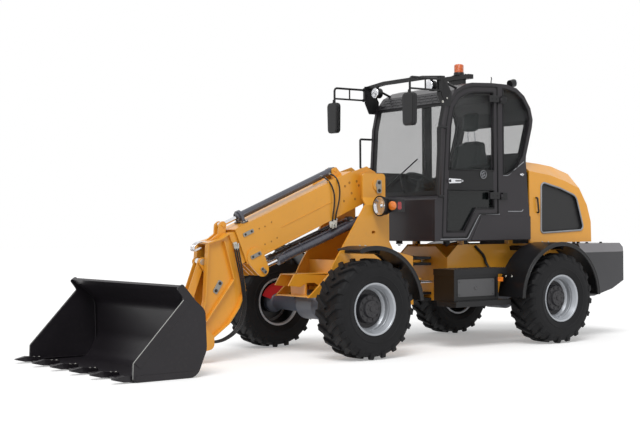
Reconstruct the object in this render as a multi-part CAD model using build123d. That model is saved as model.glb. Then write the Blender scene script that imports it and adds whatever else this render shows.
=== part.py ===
"""Compact telescopic articulated wheel loader, in millimetres.

+X forward, +Y left, +Z up. The sizes below are written from the articulation
axis, halfway between the axles; every piece is moved by -ORIGIN_X when it is
written, so that the stored origin is the bottom centre of the whole machine.
"""
from build123d import *
import math
import os

# ------------------------------------------------------------------ driving sizes
AXLE_X = 1425.0            # articulation axis to either axle
TRACK_Y = 900.0            # machine centre to wheel centre
TYRE_R = 537.5             # over the lugs
TYRE_W = 410.0
LUG_H = 34.0
LUG_N = 20                 # lugs on each half of a tyre
RIM_R = 279.4              # lip of the rim
BEAD_R = 254.0             # bead seat
SPINDLE_R = 60.0
RUN = 0.5                  # radial clearance of pins and shafts
SEAT = 0.3                 # clearance of curved seats
GAP = 6.0                  # clearance between moving pieces
ARCH_Z = TYRE_R + 130.5    # underside of the frames over the axles
FLOOR_Z = TYRE_R + 172.5   # plates over the axle housings
WALL_Z = TYRE_R + 102.5

TOOTH_TIP_X = 4518.0
TAIL_X = -2935.0           # back face of the counterweight
ORIGIN_X = (TOOTH_TIP_X + TAIL_X) / 2

# boom pins, side view (x, z)
PIVOT = Vector(715, 1885)          # boom on the tower
LIFT_FOOT = Vector(861, 1470)      # lift cylinders on the tower
LIFT_EYE = Vector(2240, 960)       # lift cylinders on the outer boom
LEVER_PIN = Vector(2745, 800)      # tilt lever on the head
LEVER_TOP = Vector(2932, 1055)     # tilt rod, lever and link
HINGE = Vector(2970, 213)          # coupler on the head
LINK_PIN = HINGE + LEVER_TOP - LEVER_PIN   # link on the coupler
BOOM_ANGLE = -22.4                 # degrees, nose down as parked
PIN_R = 28.0
SIDE_T = 20.0              # boom, head and lever plates

# outer boom, section and ends
BOOM_W = 300.0
BOOM_H = 402.0
BOOM_T = 12.0
BOOM_NOSE = Vector(2579, 1391)     # top front corner
BOOM_LEN = 1860.0
SLIDE_GAP = 12.0           # inner boom inside the outer boom
PAD_GAP = 5.0

# tower
TOWER_Y = 325.0            # outer face of the lower side plates
TOWER_T = 25.0
CHEEK_Y = 260.0            # outer face of the upper cheeks
CHEEK_Z = (1740.0, 2015.0)
STEP_Z = 1656.0            # the side plates bend in above this height
CHEEK_X = (605.0, 935.0)

# cab
CAB_Y = 660.0
CAB_T = 40.0
CAB_Z = 1235.0
DOOR_T = 36.0
GLASS_T = 8.0

# hood
HOOD_Y = 640.0
HOOD_Z = 1195.0
HOOD_T = 22.0
HOOD_X = -1345.0
HOOD_SHOULDER = 450.0      # half width of the top, before the sloping shoulder

# rear frame
SIDE_Y = 455.0
SIDE_PLATE = 22.0
FRAME_Z = (600.0, 1186.0)
BULKHEAD_X = -165.0

FENDER_R = 668.0
FENDER_T = 10.0
FENDER_Y = (695.0, 1095.0)

BUCKET_Y = 1162.0
BUCKET_T = 16.0


# ------------------------------------------------------------------ helpers
def outline(rows):
    """Closed outline from rows of (u, v, corner radius)."""
    legs = []
    count = len(rows)
    for i, (u, v, r) in enumerate(rows):
        corner = Vector(u, v)
        back = (Vector(*rows[i - 1][:2]) - corner).normalized()
        ahead = (Vector(*rows[(i + 1) % count][:2]) - corner).normalized()
        if r == 0:
            legs.append((corner, corner, None))
            continue
        half = math.radians(back.get_angle(ahead)) / 2
        reach = r / math.tan(half)
        middle = corner + (back + ahead).normalized() * (r / math.sin(half) - r)
        legs.append((corner + back * reach, corner + ahead * reach, middle))
    edges = []
    for i, (start, end, middle) in enumerate(legs):
        if middle is not None:
            edges.append(ThreePointArc(start, middle, end))
        following = legs[(i + 1) % count][0]
        if (following - end).length > 1e-6:
            edges.append(Line(end, following))
    return make_face(edges)


def plate_y(rows, y0, y1):
    """Side-view outline of (x, z, radius) made solid from y0 to y1."""
    plane = Plane(origin=(0, y1, 0), x_dir=(1, 0, 0), z_dir=(0, -1, 0))
    return extrude(plane * outline(rows), amount=y1 - y0, dir=(0, -1, 0))


def plate_x(rows, x0, x1):
    """Front-view outline of (y, z, radius) made solid from x0 to x1."""
    plane = Plane(origin=(x0, 0, 0), x_dir=(0, 1, 0), z_dir=(1, 0, 0))
    return extrude(plane * outline(rows), amount=x1 - x0, dir=(1, 0, 0))


def plate_z(rows, z0, z1):
    """Plan outline of (x, y, radius) made solid from z0 to z1."""
    return extrude(Plane.XY.offset(z0) * outline(rows), amount=z1 - z0, dir=(0, 0, 1))


def block(x, y, z):
    """Box from three (low, high) pairs."""
    size = [abs(b - a) for a, b in (x, y, z)]
    centre = [(a + b) / 2 for a, b in (x, y, z)]
    return Pos(*centre) * Box(*size)


def bar(start, end, radius):
    """Round bar between two points."""
    a, b = Vector(*start), Vector(*end)
    return Solid.make_cylinder(radius, (b - a).length, Plane(origin=a, z_dir=b - a))


def pin_y(at, radius, y0, y1):
    """Round bar across the machine at a side-view point."""
    return bar((at.X, y0, at.Y), (at.X, y1, at.Y), radius)


def turned(rows, x, z, side=1):
    """Solid of revolution about a cross axis at (x, z); rows of (y, radius, corner radius)."""
    face = outline([(r, y * side, c) for y, r, c in rows])
    body = revolve(face, Axis.Y, 360)
    return Pos(x, 0, z) * body


def swept_pipe(points, radius, bends):
    """Round tube of straight runs joined by arcs."""
    path = FilletPolyline(*points, radius=bends) if len(points) > 2 else Line(*points)
    start = Plane(origin=path @ 0, z_dir=path % 0)
    return sweep(start * Circle(radius), path=path)


def lean(at, along, off):
    """Point in side view, measured along and square off the boom from a point."""
    a = math.radians(BOOM_ANGLE)
    return (at.X + along * math.cos(a) - off * math.sin(a), at.Y + along * math.sin(a) + off * math.cos(a))


def both(shape):
    """A piece and its mirror image across the machine's centre."""
    return [shape, mirror(shape, about=Plane.XZ)]


def capsule(a, b, radius_a, radius_b, y0, y1):
    """Link plate with two round ends around side-view points a and b."""
    d = b - a
    length = d.length
    base = math.degrees(math.atan2(d.Y, d.X))
    swing = math.degrees(math.acos((radius_a - radius_b) / length))
    tangents = []
    for sign in (1, -1):
        ray = Vector(1, 0).rotate(Axis.Z, base + sign * swing)
        tangents.append((a + ray * radius_a, b + ray * radius_b))
    back = a - d.normalized() * radius_a
    front = b + d.normalized() * radius_b
    (a1, b1), (a2, b2) = tangents
    face = make_face([Line(a1, b1), ThreePointArc(b1, front, b2), Line(b2, a2), ThreePointArc(a2, back, a1)])
    plane = Plane(origin=(0, y1, 0), x_dir=(1, 0, 0), z_dir=(0, -1, 0))
    return extrude(plane * face, amount=y1 - y0, dir=(0, -1, 0))


def strip(points, thick):
    """Rows of a bent sheet: the points, then their copies offset to the left by its thickness."""
    path = [Vector(*p) for p in points]
    normals = []
    for a, b in zip(path, path[1:]):
        d = (b - a).normalized()
        normals.append(Vector(-d.Y, d.X))
    offset = []
    for i, p in enumerate(path):
        n1 = normals[max(i - 1, 0)]
        n2 = normals[min(i, len(normals) - 1)]
        offset.append(p + (n1 + n2) * (thick / (1 + n1.dot(n2))))
    return [(p.X, p.Y, 0) for p in path] + [(p.X, p.Y, 0) for p in reversed(offset)]


def write(name, *pieces):
    """Write one node, in the stored frame."""
    solids = []
    for piece in pieces:
        for solid in (piece if isinstance(piece, list) else [piece]):
            solids.extend((Pos(-ORIGIN_X, 0, 0) * solid).solids())
    export_step(solids[0] if len(solids) == 1 else Compound(solids), f"parts/{name}.step")


os.makedirs("parts", exist_ok=True)


# ------------------------------------------------------------------ wheels
def tyre(x, side):
    """Closed tyre with two rows of chevron lugs."""
    half = TYRE_W / 2
    tread = TYRE_R - LUG_H
    rows = [(-160, BEAD_R, 0), (-162, 290, 0), (-half, 350, 40), (-half, 440, 50), (-half + 25, tread, 30),
            (half - 25, tread, 30), (half, 440, 50), (half, 350, 40), (162, 290, 0), (160, BEAD_R, 0)]
    body = turned(rows, 0, 0)
    length, width = 215.0, 46.0
    lug = Pos(0, 0, TYRE_R - LUG_H / 2 - 8) * Box(width, length, LUG_H + 16)
    lugs = []
    for i in range(LUG_N):
        for hand in (1, -1):
            turn = (i + (0.5 if hand < 0 else 0)) * 360 / LUG_N
            lugs.append(Rot(0, turn, 0) * Pos(0, hand * 98, 0) * Rot(0, 0, hand * 33) * lug)
    body = body + lugs
    body = body & turned([(-half + 2, BEAD_R - 20, 0), (-half + 2, TYRE_R - 50, 0), (-half + 30, TYRE_R, 0),
                          (half - 30, TYRE_R, 0), (half - 2, TYRE_R - 50, 0), (half - 2, BEAD_R - 20, 0)], 0, 0) \
        + turned(rows, 0, 0)
    return Pos(x, side * TRACK_Y, TYRE_R) * body


def rim(x, side):
    """Rim, disc and hub, with the bore that runs on the spindle."""
    seat = BEAD_R - SEAT
    rows = [(-180, RIM_R, 0), (-164, RIM_R, 0), (-164, seat, 0), (164, seat, 0), (164, RIM_R, 0), (180, RIM_R, 0),
            (176, 258, 0), (130, 236, 0), (56, 232, 0), (30, 205, 0), (30, 156, 0), (96, 146, 8), (96, 96, 0),
            (124, 86, 8), (124, 0, 0), (38, 0, 0), (38, SPINDLE_R + RUN, 0), (-40, SPINDLE_R + RUN, 0),
            (-40, 130, 0), (10, 130, 0), (10, 205, 0), (30, 238, 0), (-120, 236, 0), (-176, 258, 0)]
    return Pos(x, side * TRACK_Y, 0) * turned(rows, 0, TYRE_R, side)


def axle(x, pads):
    """Drive axle: centre housing, tubes, end flanges, spindles and the seats of the frame."""
    flange = TRACK_Y - 40 - GAP
    rows = [(-flange - 70, 0, 0), (-flange - 70, SPINDLE_R, 0), (-flange, SPINDLE_R, 0), (-flange, 125, 0),
            (-flange + 60, 125, 0), (-flange + 120, 85, 0), (-250, 95, 0), (-150, 165, 40), (150, 165, 40),
            (250, 95, 0), (flange - 120, 85, 0), (flange - 60, 125, 0), (flange, 125, 0), (flange, SPINDLE_R, 0),
            (flange + 70, SPINDLE_R, 0), (flange + 70, 0, 0)]
    body = turned(rows, x, TYRE_R)
    for low, high, top in pads:
        for hand in (1, -1):
            body += block((x - 80, x + 80), (hand * low, hand * high), (TYRE_R, top))
    return body


for end, x in (("front", AXLE_X), ("rear", -AXLE_X)):
    for name, side in (("left", 1), ("right", -1)):
        write(f"tyre_{end}_{name}", tyre(x, side))
        write(f"rim_{end}_{name}", rim(x, side))

write("front_axle", axle(AXLE_X, [(TOWER_Y - TOWER_T, TOWER_Y, ARCH_Z)]))
write("rear_axle", axle(-AXLE_X, [(SIDE_Y - SIDE_PLATE, SIDE_Y, ARCH_Z)]))


# ------------------------------------------------------------------ front frame
def tower_side():
    """Left side plate of the front frame: lower plate, bend and upper cheek."""
    nose = 1755.0
    lower = [(CHEEK_X[0], STEP_Z, 0), (CHEEK_X[0], 1240, 0), (540, 1130, 0), (250, 1060, 0), (250, 500, 0),
             (1150, 500, 0), (1300, ARCH_Z, 0), (1550, ARCH_Z, 0), (1600, 636, 0), (nose, 636, 0), (1616, 753, 0),
             (1465, 885, 0), (1402, 1000, 0), (CHEEK_X[1] + 12, STEP_Z, 0)]
    plate = plate_y(lower, TOWER_Y - TOWER_T, TOWER_Y)
    bend = [(TOWER_Y, STEP_Z, 0), (CHEEK_Y, CHEEK_Z[0], 0), (CHEEK_Y - TOWER_T, CHEEK_Z[0], 0),
            (TOWER_Y - TOWER_T, STEP_Z, 0)]
    cheek = [(CHEEK_X[0], CHEEK_Z[0], 0), (CHEEK_X[1], CHEEK_Z[0], 0), (CHEEK_X[1], CHEEK_Z[1], 45),
             (CHEEK_X[0], CHEEK_Z[1], 45)]
    side = plate + plate_x(bend, CHEEK_X[0], CHEEK_X[1] + 6) + plate_y(cheek, CHEEK_Y - TOWER_T, CHEEK_Y)
    boss = pin_y(PIVOT, 75, CHEEK_Y, CHEEK_Y + 12)
    slot = plate_y([(810, 1330, 12), (860, 1330, 12), (860, 1362, 12), (810, 1362, 12)], TOWER_Y - 40, TOWER_Y + 1)
    return side + boss - slot - pin_y(PIVOT, 40 + SEAT, 0, TOWER_Y)


write("tower_sides", both(tower_side()))

INNER = TOWER_Y - TOWER_T
wall = block((1270, 1290), (-INNER, INNER), (WALL_Z, 1040))
back_wall = block((CHEEK_X[0] + 20, CHEEK_X[0] + 45), (-INNER, INNER), (1000, 1420))
floor = block((250, 1270), (-INNER, INNER), (860, 880))
nose_plate = block((1600, 1740), (-INNER, INNER), (640, 655))
back_plate = block((250, 275), (-INNER, INNER), (500, 1060))
gussets = [plate_y([(1290, 870, 0), (1290, 735, 0), (1440, 735, 60), (1530, 790, 60), (1640, 790, 60),
                    (1722, 750, 30), (1883, 767, 0), (1802, 890, 0), (1740, 882, 0)], hand * 130 - 10, hand * 130 + 10)
           for hand in (1, -1)]
top_flange = block((1290, 1800), (-140, 140), (882, 894))
nose_post = block((1640, 1660), (-140, 140), (655, 785))
core = wall + back_wall + floor + nose_plate + back_plate + gussets[0] + gussets[1] + top_flange + nose_post
write("front_crossmembers", core)

# hinge tongues of the front frame and the clevis plates of the rear frame
HINGE_LEVELS = ((980.0, 1010.0), (560.0, 590.0))
TONGUE_R = 115.0
STEER_R = 35.0
tongues = []
for low, high in HINGE_LEVELS:
    rows = [(250, -220, 0), (250, 220, 0), (60, TONGUE_R, 60), (-TONGUE_R, TONGUE_R, TONGUE_R - 5),
            (-TONGUE_R, -TONGUE_R, TONGUE_R - 5), (60, -TONGUE_R, 60)]
    tongue = plate_z(rows, low, high) + block((230, 250), (-220, 220), (low - 50, high + 50))
    tongues.append(tongue - bar((0, 0, low - 1), (0, 0, high + 1), STEER_R + RUN))

# boom foot pins and lift cross shaft
CHEEK_IN = CHEEK_Y - TOWER_T
PIVOT_END = CHEEK_Y + 12
write("tower_pins", pin_y(PIVOT, 40, -PIVOT_END, PIVOT_END), pin_y(LIFT_FOOT, 32, -INNER, INNER))


def fender(x, start, end, y0, y1, arm_y, arms):
    """Curved mudguard with two square arms to the frame; angles in degrees from +X."""
    sheet = None
    for depth, low, high in ((FENDER_T, y0, y1), (45, y1 - 14, y1), (25, y0, y0 + 10)):
        arcs = []
        for radius in (FENDER_R, FENDER_R - depth):
            arcs.append([Vector(x + radius * math.cos(math.radians(a)), TYRE_R + radius * math.sin(math.radians(a)))
                         for a in (start, (start + end) / 2, end)])
        outer, inner = arcs
        face = make_face([ThreePointArc(*outer), Line(outer[2], inner[2]), ThreePointArc(*reversed(inner)),
                          Line(inner[0], outer[0])])
        plane = Plane(origin=(0, high, 0), x_dir=(1, 0, 0), z_dir=(0, -1, 0))
        layer = extrude(plane * face, amount=high - low, dir=(0, -1, 0))
        sheet = layer if sheet is None else sheet + layer
    for angle in arms:
        ray = Vector(math.cos(math.radians(angle)), math.sin(math.radians(angle)))
        at = Vector(x, TYRE_R) + ray * (FENDER_R - FENDER_T - 22)
        sheet += Pos(at.X, (arm_y + y0 + 200) / 2, at.Y) * Rot(0, -angle, 0) * Box(50, y0 + 200 - arm_y, 40)
    return sheet


write("front_fenders", both(fender(AXLE_X, 72, 174, *FENDER_Y, TOWER_Y, (108, 140))))
write("rear_fenders", both(fender(-AXLE_X, 3, 178, *FENDER_Y, SIDE_Y, (70, 110))))

LAMP_X, LAMP_Y, LAMP_Z = 800.0, 455.0, 1640.0
lamp = bar((LAMP_X - 30, LAMP_Y, LAMP_Z), (LAMP_X + 30, LAMP_Y, LAMP_Z), 102)
lamp += Solid.make_cone(102, 62, 90, Plane(origin=(LAMP_X - 30, LAMP_Y, LAMP_Z), z_dir=(-1, 0, 0)))
turn = plate_z([(LAMP_X - 15, LAMP_Y + 92, 0), (LAMP_X - 15, LAMP_Y + 160, 30), (LAMP_X - 60, LAMP_Y + 180, 30),
                (LAMP_X - 190, LAMP_Y + 165, 20), (LAMP_X - 190, LAMP_Y + 50, 0), (LAMP_X - 90, LAMP_Y + 50, 0)],
               LAMP_Z - 68, LAMP_Z + 72)
bracket = block((LAMP_X - 60, LAMP_X - 40), (TOWER_Y, LAMP_Y + 100), (LAMP_Z - 60, LAMP_Z + 60))
write("front_lamps", both(lamp + turn + bracket))


# ------------------------------------------------------------------ booms
def boom_side():
    """Left side plate of the outer boom, with the raised foot around the pivot."""
    nose = BOOM_NOSE
    foot = lean(nose, -BOOM_LEN, -BOOM_H)
    rows = [(*lean(nose, 0, 0), 0), (*lean(nose, 0, -BOOM_H), 0), (*foot, 0), (PIVOT.X - 20, PIVOT.Y - 110, 60),
            (PIVOT.X - 110, PIVOT.Y - 60, 80), (PIVOT.X - 60, PIVOT.Y + 150, 40), (735, 2070, 20), (785, 2100, 10),
            (*lean(nose, -1330, 22), 0), (*lean(nose, -1350, 0), 0)]
    return rows


side = plate_y(boom_side(), BOOM_W / 2 - BOOM_T, BOOM_W / 2)
side -= pin_y(PIVOT, 40 + RUN, 0, BOOM_W)
boss = pin_y(PIVOT, 80, BOOM_W / 2, CHEEK_Y - TOWER_T - GAP) - pin_y(PIVOT, 40 + RUN, 0, CHEEK_Y)
lift_lug = capsule(LIFT_EYE, Vector(*lean(LIFT_EYE, 30, 150)), 78, 110, BOOM_W / 2, BOOM_W / 2 + SIDE_T)
pin_head = pin_y(LIFT_EYE, PIN_R, BOOM_W / 2 + SIDE_T, BOOM_W / 2 + SIDE_T + 14)
write("outer_boom_sides", both(side + boss + lift_lug + pin_head))
under = plate_y([(*lean(BOOM_NOSE, 0, -BOOM_H), 0), (*lean(BOOM_NOSE, -500, -BOOM_H), 0),
                 (*lean(BOOM_NOSE, -500, -BOOM_H - 400), 0), (*lean(BOOM_NOSE, 0, -BOOM_H - 400), 0)], 0, 200)
inner_lug = capsule(LIFT_EYE, Vector(*lean(LIFT_EYE, 30, 150)), 70, 110, 34, 52) & under

inner_half = BOOM_W / 2 - BOOM_T
covers = []
for off in (0, -BOOM_H + BOOM_T):
    rows = [(*lean(BOOM_NOSE, 0, off), 0), (*lean(BOOM_NOSE, -1700, off), 0),
            (*lean(BOOM_NOSE, -1700, off - BOOM_T), 0), (*lean(BOOM_NOSE, 0, off - BOOM_T), 0)]
    covers.append(plate_y(rows, -inner_half, inner_half))
covers[1] = covers[1] + both(inner_lug)
outer_covers = covers

# telescoping inner boom: two side plates, top and bottom plates
IN_W = BOOM_W - 2 * BOOM_T - 2 * SLIDE_GAP
IN_H = BOOM_H - 2 * BOOM_T - 2 * SLIDE_GAP
IN_TOP = -BOOM_T - SLIDE_GAP
IN_T = 10.0
IN_BACK = -1560.0
IN_FRONT = 60.0
rows = [(*lean(BOOM_NOSE, IN_FRONT, IN_TOP), 0), (*lean(BOOM_NOSE, IN_FRONT, IN_TOP - IN_H), 0),
        (*lean(BOOM_NOSE, IN_BACK, IN_TOP - IN_H), 0), (*lean(BOOM_NOSE, IN_BACK, IN_TOP), 0)]
inner_side = plate_y(rows, IN_W / 2 - IN_T, IN_W / 2)
TILT_FOOT = Vector(*lean(BOOM_NOSE, -900, -BOOM_H / 2))
tilt_pin = pin_y(TILT_FOOT, 25, -IN_W / 2, IN_W / 2)
write("inner_boom_sides", inner_side + mirror(inner_side, about=Plane.XZ) + tilt_pin)
covers = []
for off in (IN_TOP, IN_TOP - IN_H + IN_T):
    rows = [(*lean(BOOM_NOSE, IN_FRONT, off), 0), (*lean(BOOM_NOSE, IN_BACK, off), 0),
            (*lean(BOOM_NOSE, IN_BACK, off - IN_T), 0), (*lean(BOOM_NOSE, IN_FRONT, off - IN_T), 0)]
    covers.append(plate_y(rows, -IN_W / 2 + IN_T, IN_W / 2 - IN_T))
write("inner_boom_covers", covers)

# wear pads at the mouth of the outer boom
pads = []
for along in (-60, -420):
    for low, high in ((-BOOM_T - SLIDE_GAP + PAD_GAP, -BOOM_T), (-BOOM_H + BOOM_T, -BOOM_H + BOOM_T + SLIDE_GAP - PAD_GAP)):
        rows = [(*lean(BOOM_NOSE, along, low), 0), (*lean(BOOM_NOSE, along, high), 0),
                (*lean(BOOM_NOSE, along - 80, high), 0), (*lean(BOOM_NOSE, along - 80, low), 0)]
        pads.append(plate_y(rows, -90, 90))
outer_covers[0] = outer_covers[0] + [pads[0], pads[2]]
outer_covers[1] = outer_covers[1] + [pads[1], pads[3]]

# extension cylinder on top of the boom
EXT_OFF = 76.0
EXT_R = 40.0
ext_rear = Vector(*lean(BOOM_NOSE, -1545, EXT_OFF))
ext_gland = Vector(*lean(BOOM_NOSE, -160, EXT_OFF))
ext_eye = Vector(*lean(BOOM_NOSE, 62, EXT_OFF))


def on_line(p, q, distance):
    """Point on the line from p towards q."""
    return p + (q - p).normalized() * distance


def tube(p, q, r_out, r_in, y):
    """Hollow round tube in side view at a cross position."""
    a, b = (p.X, y, p.Y), (q.X, y, q.Y)
    return bar(a, b, r_out) - bar(a, b, r_in)


def cylinder_barrel(foot, gland, y, r_out, r_rod, r_eye, eye_w, pin_r):
    """Hydraulic barrel with a bored foot eye and a closed end; open at the gland."""
    start = on_line(foot, gland, r_eye * 0.6)
    closed = on_line(foot, gland, r_eye + 30)
    body = bar((start.X, y, start.Y), (gland.X, y, gland.Y), r_out)
    body -= bar((closed.X, y, closed.Y), (gland.X, y, gland.Y), r_rod + RUN)
    collar = on_line(gland, foot, 60)
    body += tube(collar, gland, r_out + 8, r_rod + RUN, y)
    body += pin_y(foot, r_eye, y - eye_w / 2, y + eye_w / 2)
    return body - pin_y(foot, pin_r + RUN, y - eye_w, y + eye_w)


def cylinder_rod(eye, foot, y, r_rod, reach, r_eye, eye_w):
    """Chrome rod with a plain round eye."""
    tail = on_line(eye, foot, reach)
    rod = bar((eye.X, y, eye.Y), (tail.X, y, tail.Y), r_rod)
    return rod + pin_y(eye, r_eye, y - eye_w / 2, y + eye_w / 2)


barrel = cylinder_barrel(ext_rear, ext_gland, 0, EXT_R, 22, 38, 84, 18)
ears = [plate_y([(*lean(ext_rear, -70, -EXT_OFF), 0), (*lean(ext_rear, -30, 30), 25), (*lean(ext_rear, 30, 30), 25),
                 (*lean(ext_rear, 70, -EXT_OFF), 0)], hand * 56 - 10, hand * 56 + 10) for hand in (1, -1)]
ext_mount = ears[0] + ears[1] + pin_y(ext_rear, 18, -74, 74)
clamp_ends = on_line(ext_gland, ext_rear, 50), on_line(ext_gland, ext_rear, 14)
clamp = tube(*clamp_ends, EXT_R + 24, EXT_R, 0)
for hand in (1, -1):
    clamp += plate_y([(*lean(ext_gland, -50, -EXT_OFF), 0), (*lean(ext_gland, -50, 8), 0), (*lean(ext_gland, -14, 8), 0),
                      (*lean(ext_gland, -14, -EXT_OFF), 0)], *sorted((hand * 48, hand * 66)))
    clamp += plate_y([(*lean(ext_gland, -62, -EXT_OFF), 0), (*lean(ext_gland, -62, 14 - EXT_OFF), 0),
                      (*lean(ext_gland, -2, 14 - EXT_OFF), 0), (*lean(ext_gland, -2, -EXT_OFF), 0)],
                     *sorted((hand * 48, hand * 96)))
write("extension_barrel", barrel + clamp)
outer_covers[0] = outer_covers[0] + ext_mount
write("outer_boom_covers", outer_covers)
ext_rod = cylinder_rod(ext_eye, ext_rear, 0, 22, 1270, 34, 44)
write("extension_rod", ext_rod - pin_y(ext_eye, 18 + SEAT, -30, 30))

# head of the inner boom: webs, flanges, upper lug
WEB = (80.0, 100.0)
BASE = IN_FRONT + 14
base_rows = [(*lean(BOOM_NOSE, IN_FRONT, IN_TOP), 0), (*lean(BOOM_NOSE, BASE, IN_TOP), 0),
             (*lean(BOOM_NOSE, BASE, IN_TOP - IN_H), 0), (*lean(BOOM_NOSE, IN_FRONT, IN_TOP - IN_H), 0)]
heel = lean(BOOM_NOSE, BASE, IN_TOP - IN_H)
brow = lean(BOOM_NOSE, BASE, IN_TOP)
rear_line = [heel, (2458, 738), (2540, 560), (2664, 400), (HINGE.X - 78, HINGE.Y + 30)]
top_line = [(2905, 1240), (2720, 1290), brow]
web_rows = [(*p, 0) for p in rear_line] + [(HINGE.X - 60, HINGE.Y - 60, 50), (HINGE.X + 70, HINGE.Y - 60, 60),
                                           (3040, 260, 0), (2948, 657, 60)] + [(*p, 0) for p in top_line]
web = plate_y(web_rows, *WEB) + plate_y(base_rows, WEB[0], IN_W / 2)
web += pin_y(HINGE, 66, WEB[0], WEB[1] + 20) + pin_y(LEVER_PIN, 52, *WEB)
web -= pin_y(HINGE, PIN_R + RUN, 0, 200)
web = web + mirror(web, about=Plane.XZ)
write("head_webs", web + pin_y(LEVER_PIN, PIN_R, -WEB[0], WEB[0]))
FLANGE_T = 14.0
flange = plate_y(strip(list(reversed(rear_line)), FLANGE_T), -BOOM_W / 2, BOOM_W / 2)
roof = plate_y(strip(list(reversed(top_line)), FLANGE_T), -BOOM_W / 2 + 10, BOOM_W / 2 - 10)
LUG = (32.0, 52.0)
lug = plate_y([(*brow, 0), (*lean(ext_eye, -46, 0), 30), (*lean(ext_eye, -20, 46), 30),
               (*lean(ext_eye, 44, 30), 30), (*lean(ext_eye, 90, -60), 0), (2830, 1276, 0), (2735, 1302, 0)], *LUG)
roof = roof + both(lug) + pin_y(ext_eye, 18, -LUG[1] - 12, LUG[1] + 12)
border = plate_y(strip([(3024, 330), (2948, 657), (2904.6, 1245)], FLANGE_T), WEB[1], BOOM_W / 2 - 5)
write("head_flanges", flange, roof - plate_y(web_rows, -WEB[1], WEB[1]), both(border - roof))

# tilt linkage: levers, links, cylinder
TILT_ROD, TILT_R = 25.0, 46.0
LEVER = (52.0, 72.0)
LINK = (31.0, 46.0)
lever = capsule(LEVER_PIN, LEVER_TOP, 56, 46, *LEVER)
lever += pin_y(LEVER_TOP, 25, LINK[0] - 3, LEVER[1] + 4)
levers = lever + mirror(lever, about=Plane.XZ) + pin_y(LEVER_PIN, 44, -LEVER[0], LEVER[0])
write("tilt_levers", levers - pin_y(LEVER_PIN, PIN_R + RUN, -200, 200))
link = capsule(LEVER_TOP, LINK_PIN, 42, 42, *LINK)
link = link - pin_y(LEVER_TOP, 25 + RUN, 0, 100) - pin_y(LINK_PIN, 25 + RUN, 0, 100)
write("tilt_links", both(link))
tilt_gland = on_line(TILT_FOOT, LEVER_TOP, 700)
write("tilt_barrel", cylinder_barrel(TILT_FOOT, tilt_gland, 0, TILT_R, TILT_ROD, 48, 50, 25))
write("tilt_rod", cylinder_rod(LEVER_TOP, TILT_FOOT, 0, TILT_ROD, 960, 40, 50))

# lift cylinders
LIFT_Y = 95.0
lift_gland = on_line(LIFT_FOOT, LIFT_EYE, 1215)
write("lift_barrels", [cylinder_barrel(LIFT_FOOT, lift_gland, hand * LIFT_Y, 46, 28, 60, 60, 32) for hand in (1, -1)])
write("lift_rods", [cylinder_rod(LIFT_EYE, LIFT_FOOT, hand * LIFT_Y, 28, 820, 50, 56) for hand in (1, -1)])

# ------------------------------------------------------------------ coupler and bucket
COUPLER = (225.0, 250.0)
rows = [(HINGE.X - 65, HINGE.Y - 60, 60), (HINGE.X - 65, HINGE.Y + 70, 60), (3120, 470, 60), (3380, 640, 40),
        (3530, 700, 20), (3530, 70, 0), (3420, 70, 30)]
coupler = plate_y(rows, *COUPLER)
coupler = coupler + mirror(coupler, about=Plane.XZ)
coupler += pin_y(HINGE, PIN_R, -COUPLER[0], COUPLER[0])
coupler += block((3510, 3530), (-430, 430), (90, 640)) + pin_y(Vector(3440, 610), 38, -430, 430)
coupler += plate_y([(3510, 300, 0), (3510, 560, 0), (LINK_PIN.X, LINK_PIN.Y + 50, 0), (LINK_PIN.X - 50, LINK_PIN.Y, 48),
                    (LINK_PIN.X, LINK_PIN.Y - 50, 0)], -24, 24)
coupler += pin_y(LINK_PIN, 25, -LINK[1] - 4, LINK[1] + 4)
write("coupler", coupler)

FLOOR = 3.0
shell_rows = [(4330, FLOOR, 0), (3655, FLOOR, 170), (3545, 260, 200), (3560, 640, 120), (3830, 880, 0)]
outer = plate_y(shell_rows, -BUCKET_Y + BUCKET_T, BUCKET_Y - BUCKET_T)
inner_rows = [(4400, FLOOR + BUCKET_T, 0), (3663, FLOOR + BUCKET_T, 156), (3561, 262, 184), (3576, 632, 104),
              (3832, 860, 0), (4400, 860, 0)]
shell = outer - plate_y(inner_rows, -BUCKET_Y, BUCKET_Y)
lip = plate_y([(3775, 831, 0), (3830, 880, 0), (3850, 862, 0), (3797, 812, 0)], -BUCKET_Y + BUCKET_T, BUCKET_Y - BUCKET_T)
side_rows = [(4340, 30, 0), (4300, FLOOR, 0), (3655, FLOOR, 120), (3545, 260, 200), (3560, 640, 120), (3651, 712, 0),
             (3805, 892, 20), (3869, 850, 20), (3790, 745, 30), (4335, 175, 20)]
side = plate_y(side_rows, BUCKET_Y - BUCKET_T, BUCKET_Y)
write("bucket_sides", both(side))
blade = plate_y([(4190, FLOOR, 0), (4330, FLOOR, 0), (4352, FLOOR + 22, 0), (4190, FLOOR + 26, 0)],
                -BUCKET_Y + BUCKET_T, BUCKET_Y - BUCKET_T)
ribs = [plate_y([(3530, 60, 0), (3530, 660, 0), (3700, 780, 0), (3640, 700, 0), (3556, 600, 0), (3545, 260, 0),
                 (3600, 60, 0)], y - 9, y + 9) - outer for y in (-435, -300, 300, 435)]
write("bucket_shell", shell + lip + blade + ribs)
TEETH_Y = [-1110 + 444 * i for i in range(6)]
tooth_side = [(4230, FLOOR + 26, 0), (4352, FLOOR + 22, 0), (4340, 12, 0), (4420, 14, 0), (TOOTH_TIP_X, 38, 0),
              (TOOTH_TIP_X, 48, 0), (4400, 72, 0), (4230, 52, 0)]
tooth_plan = [(4230, -30, 10), (4230, 30, 10), (4400, 35, 0), (TOOTH_TIP_X, 22, 0), (TOOTH_TIP_X, -22, 0),
              (4400, -35, 0)]
tooth = (plate_y(tooth_side, -50, 50) & plate_z(tooth_plan, 0, 100)) - plate_y(
    [(4190, FLOOR, 0), (4330, FLOOR, 0), (4352, FLOOR + 22, 0), (4190, FLOOR + 26, 0)], -60, 60)
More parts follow.
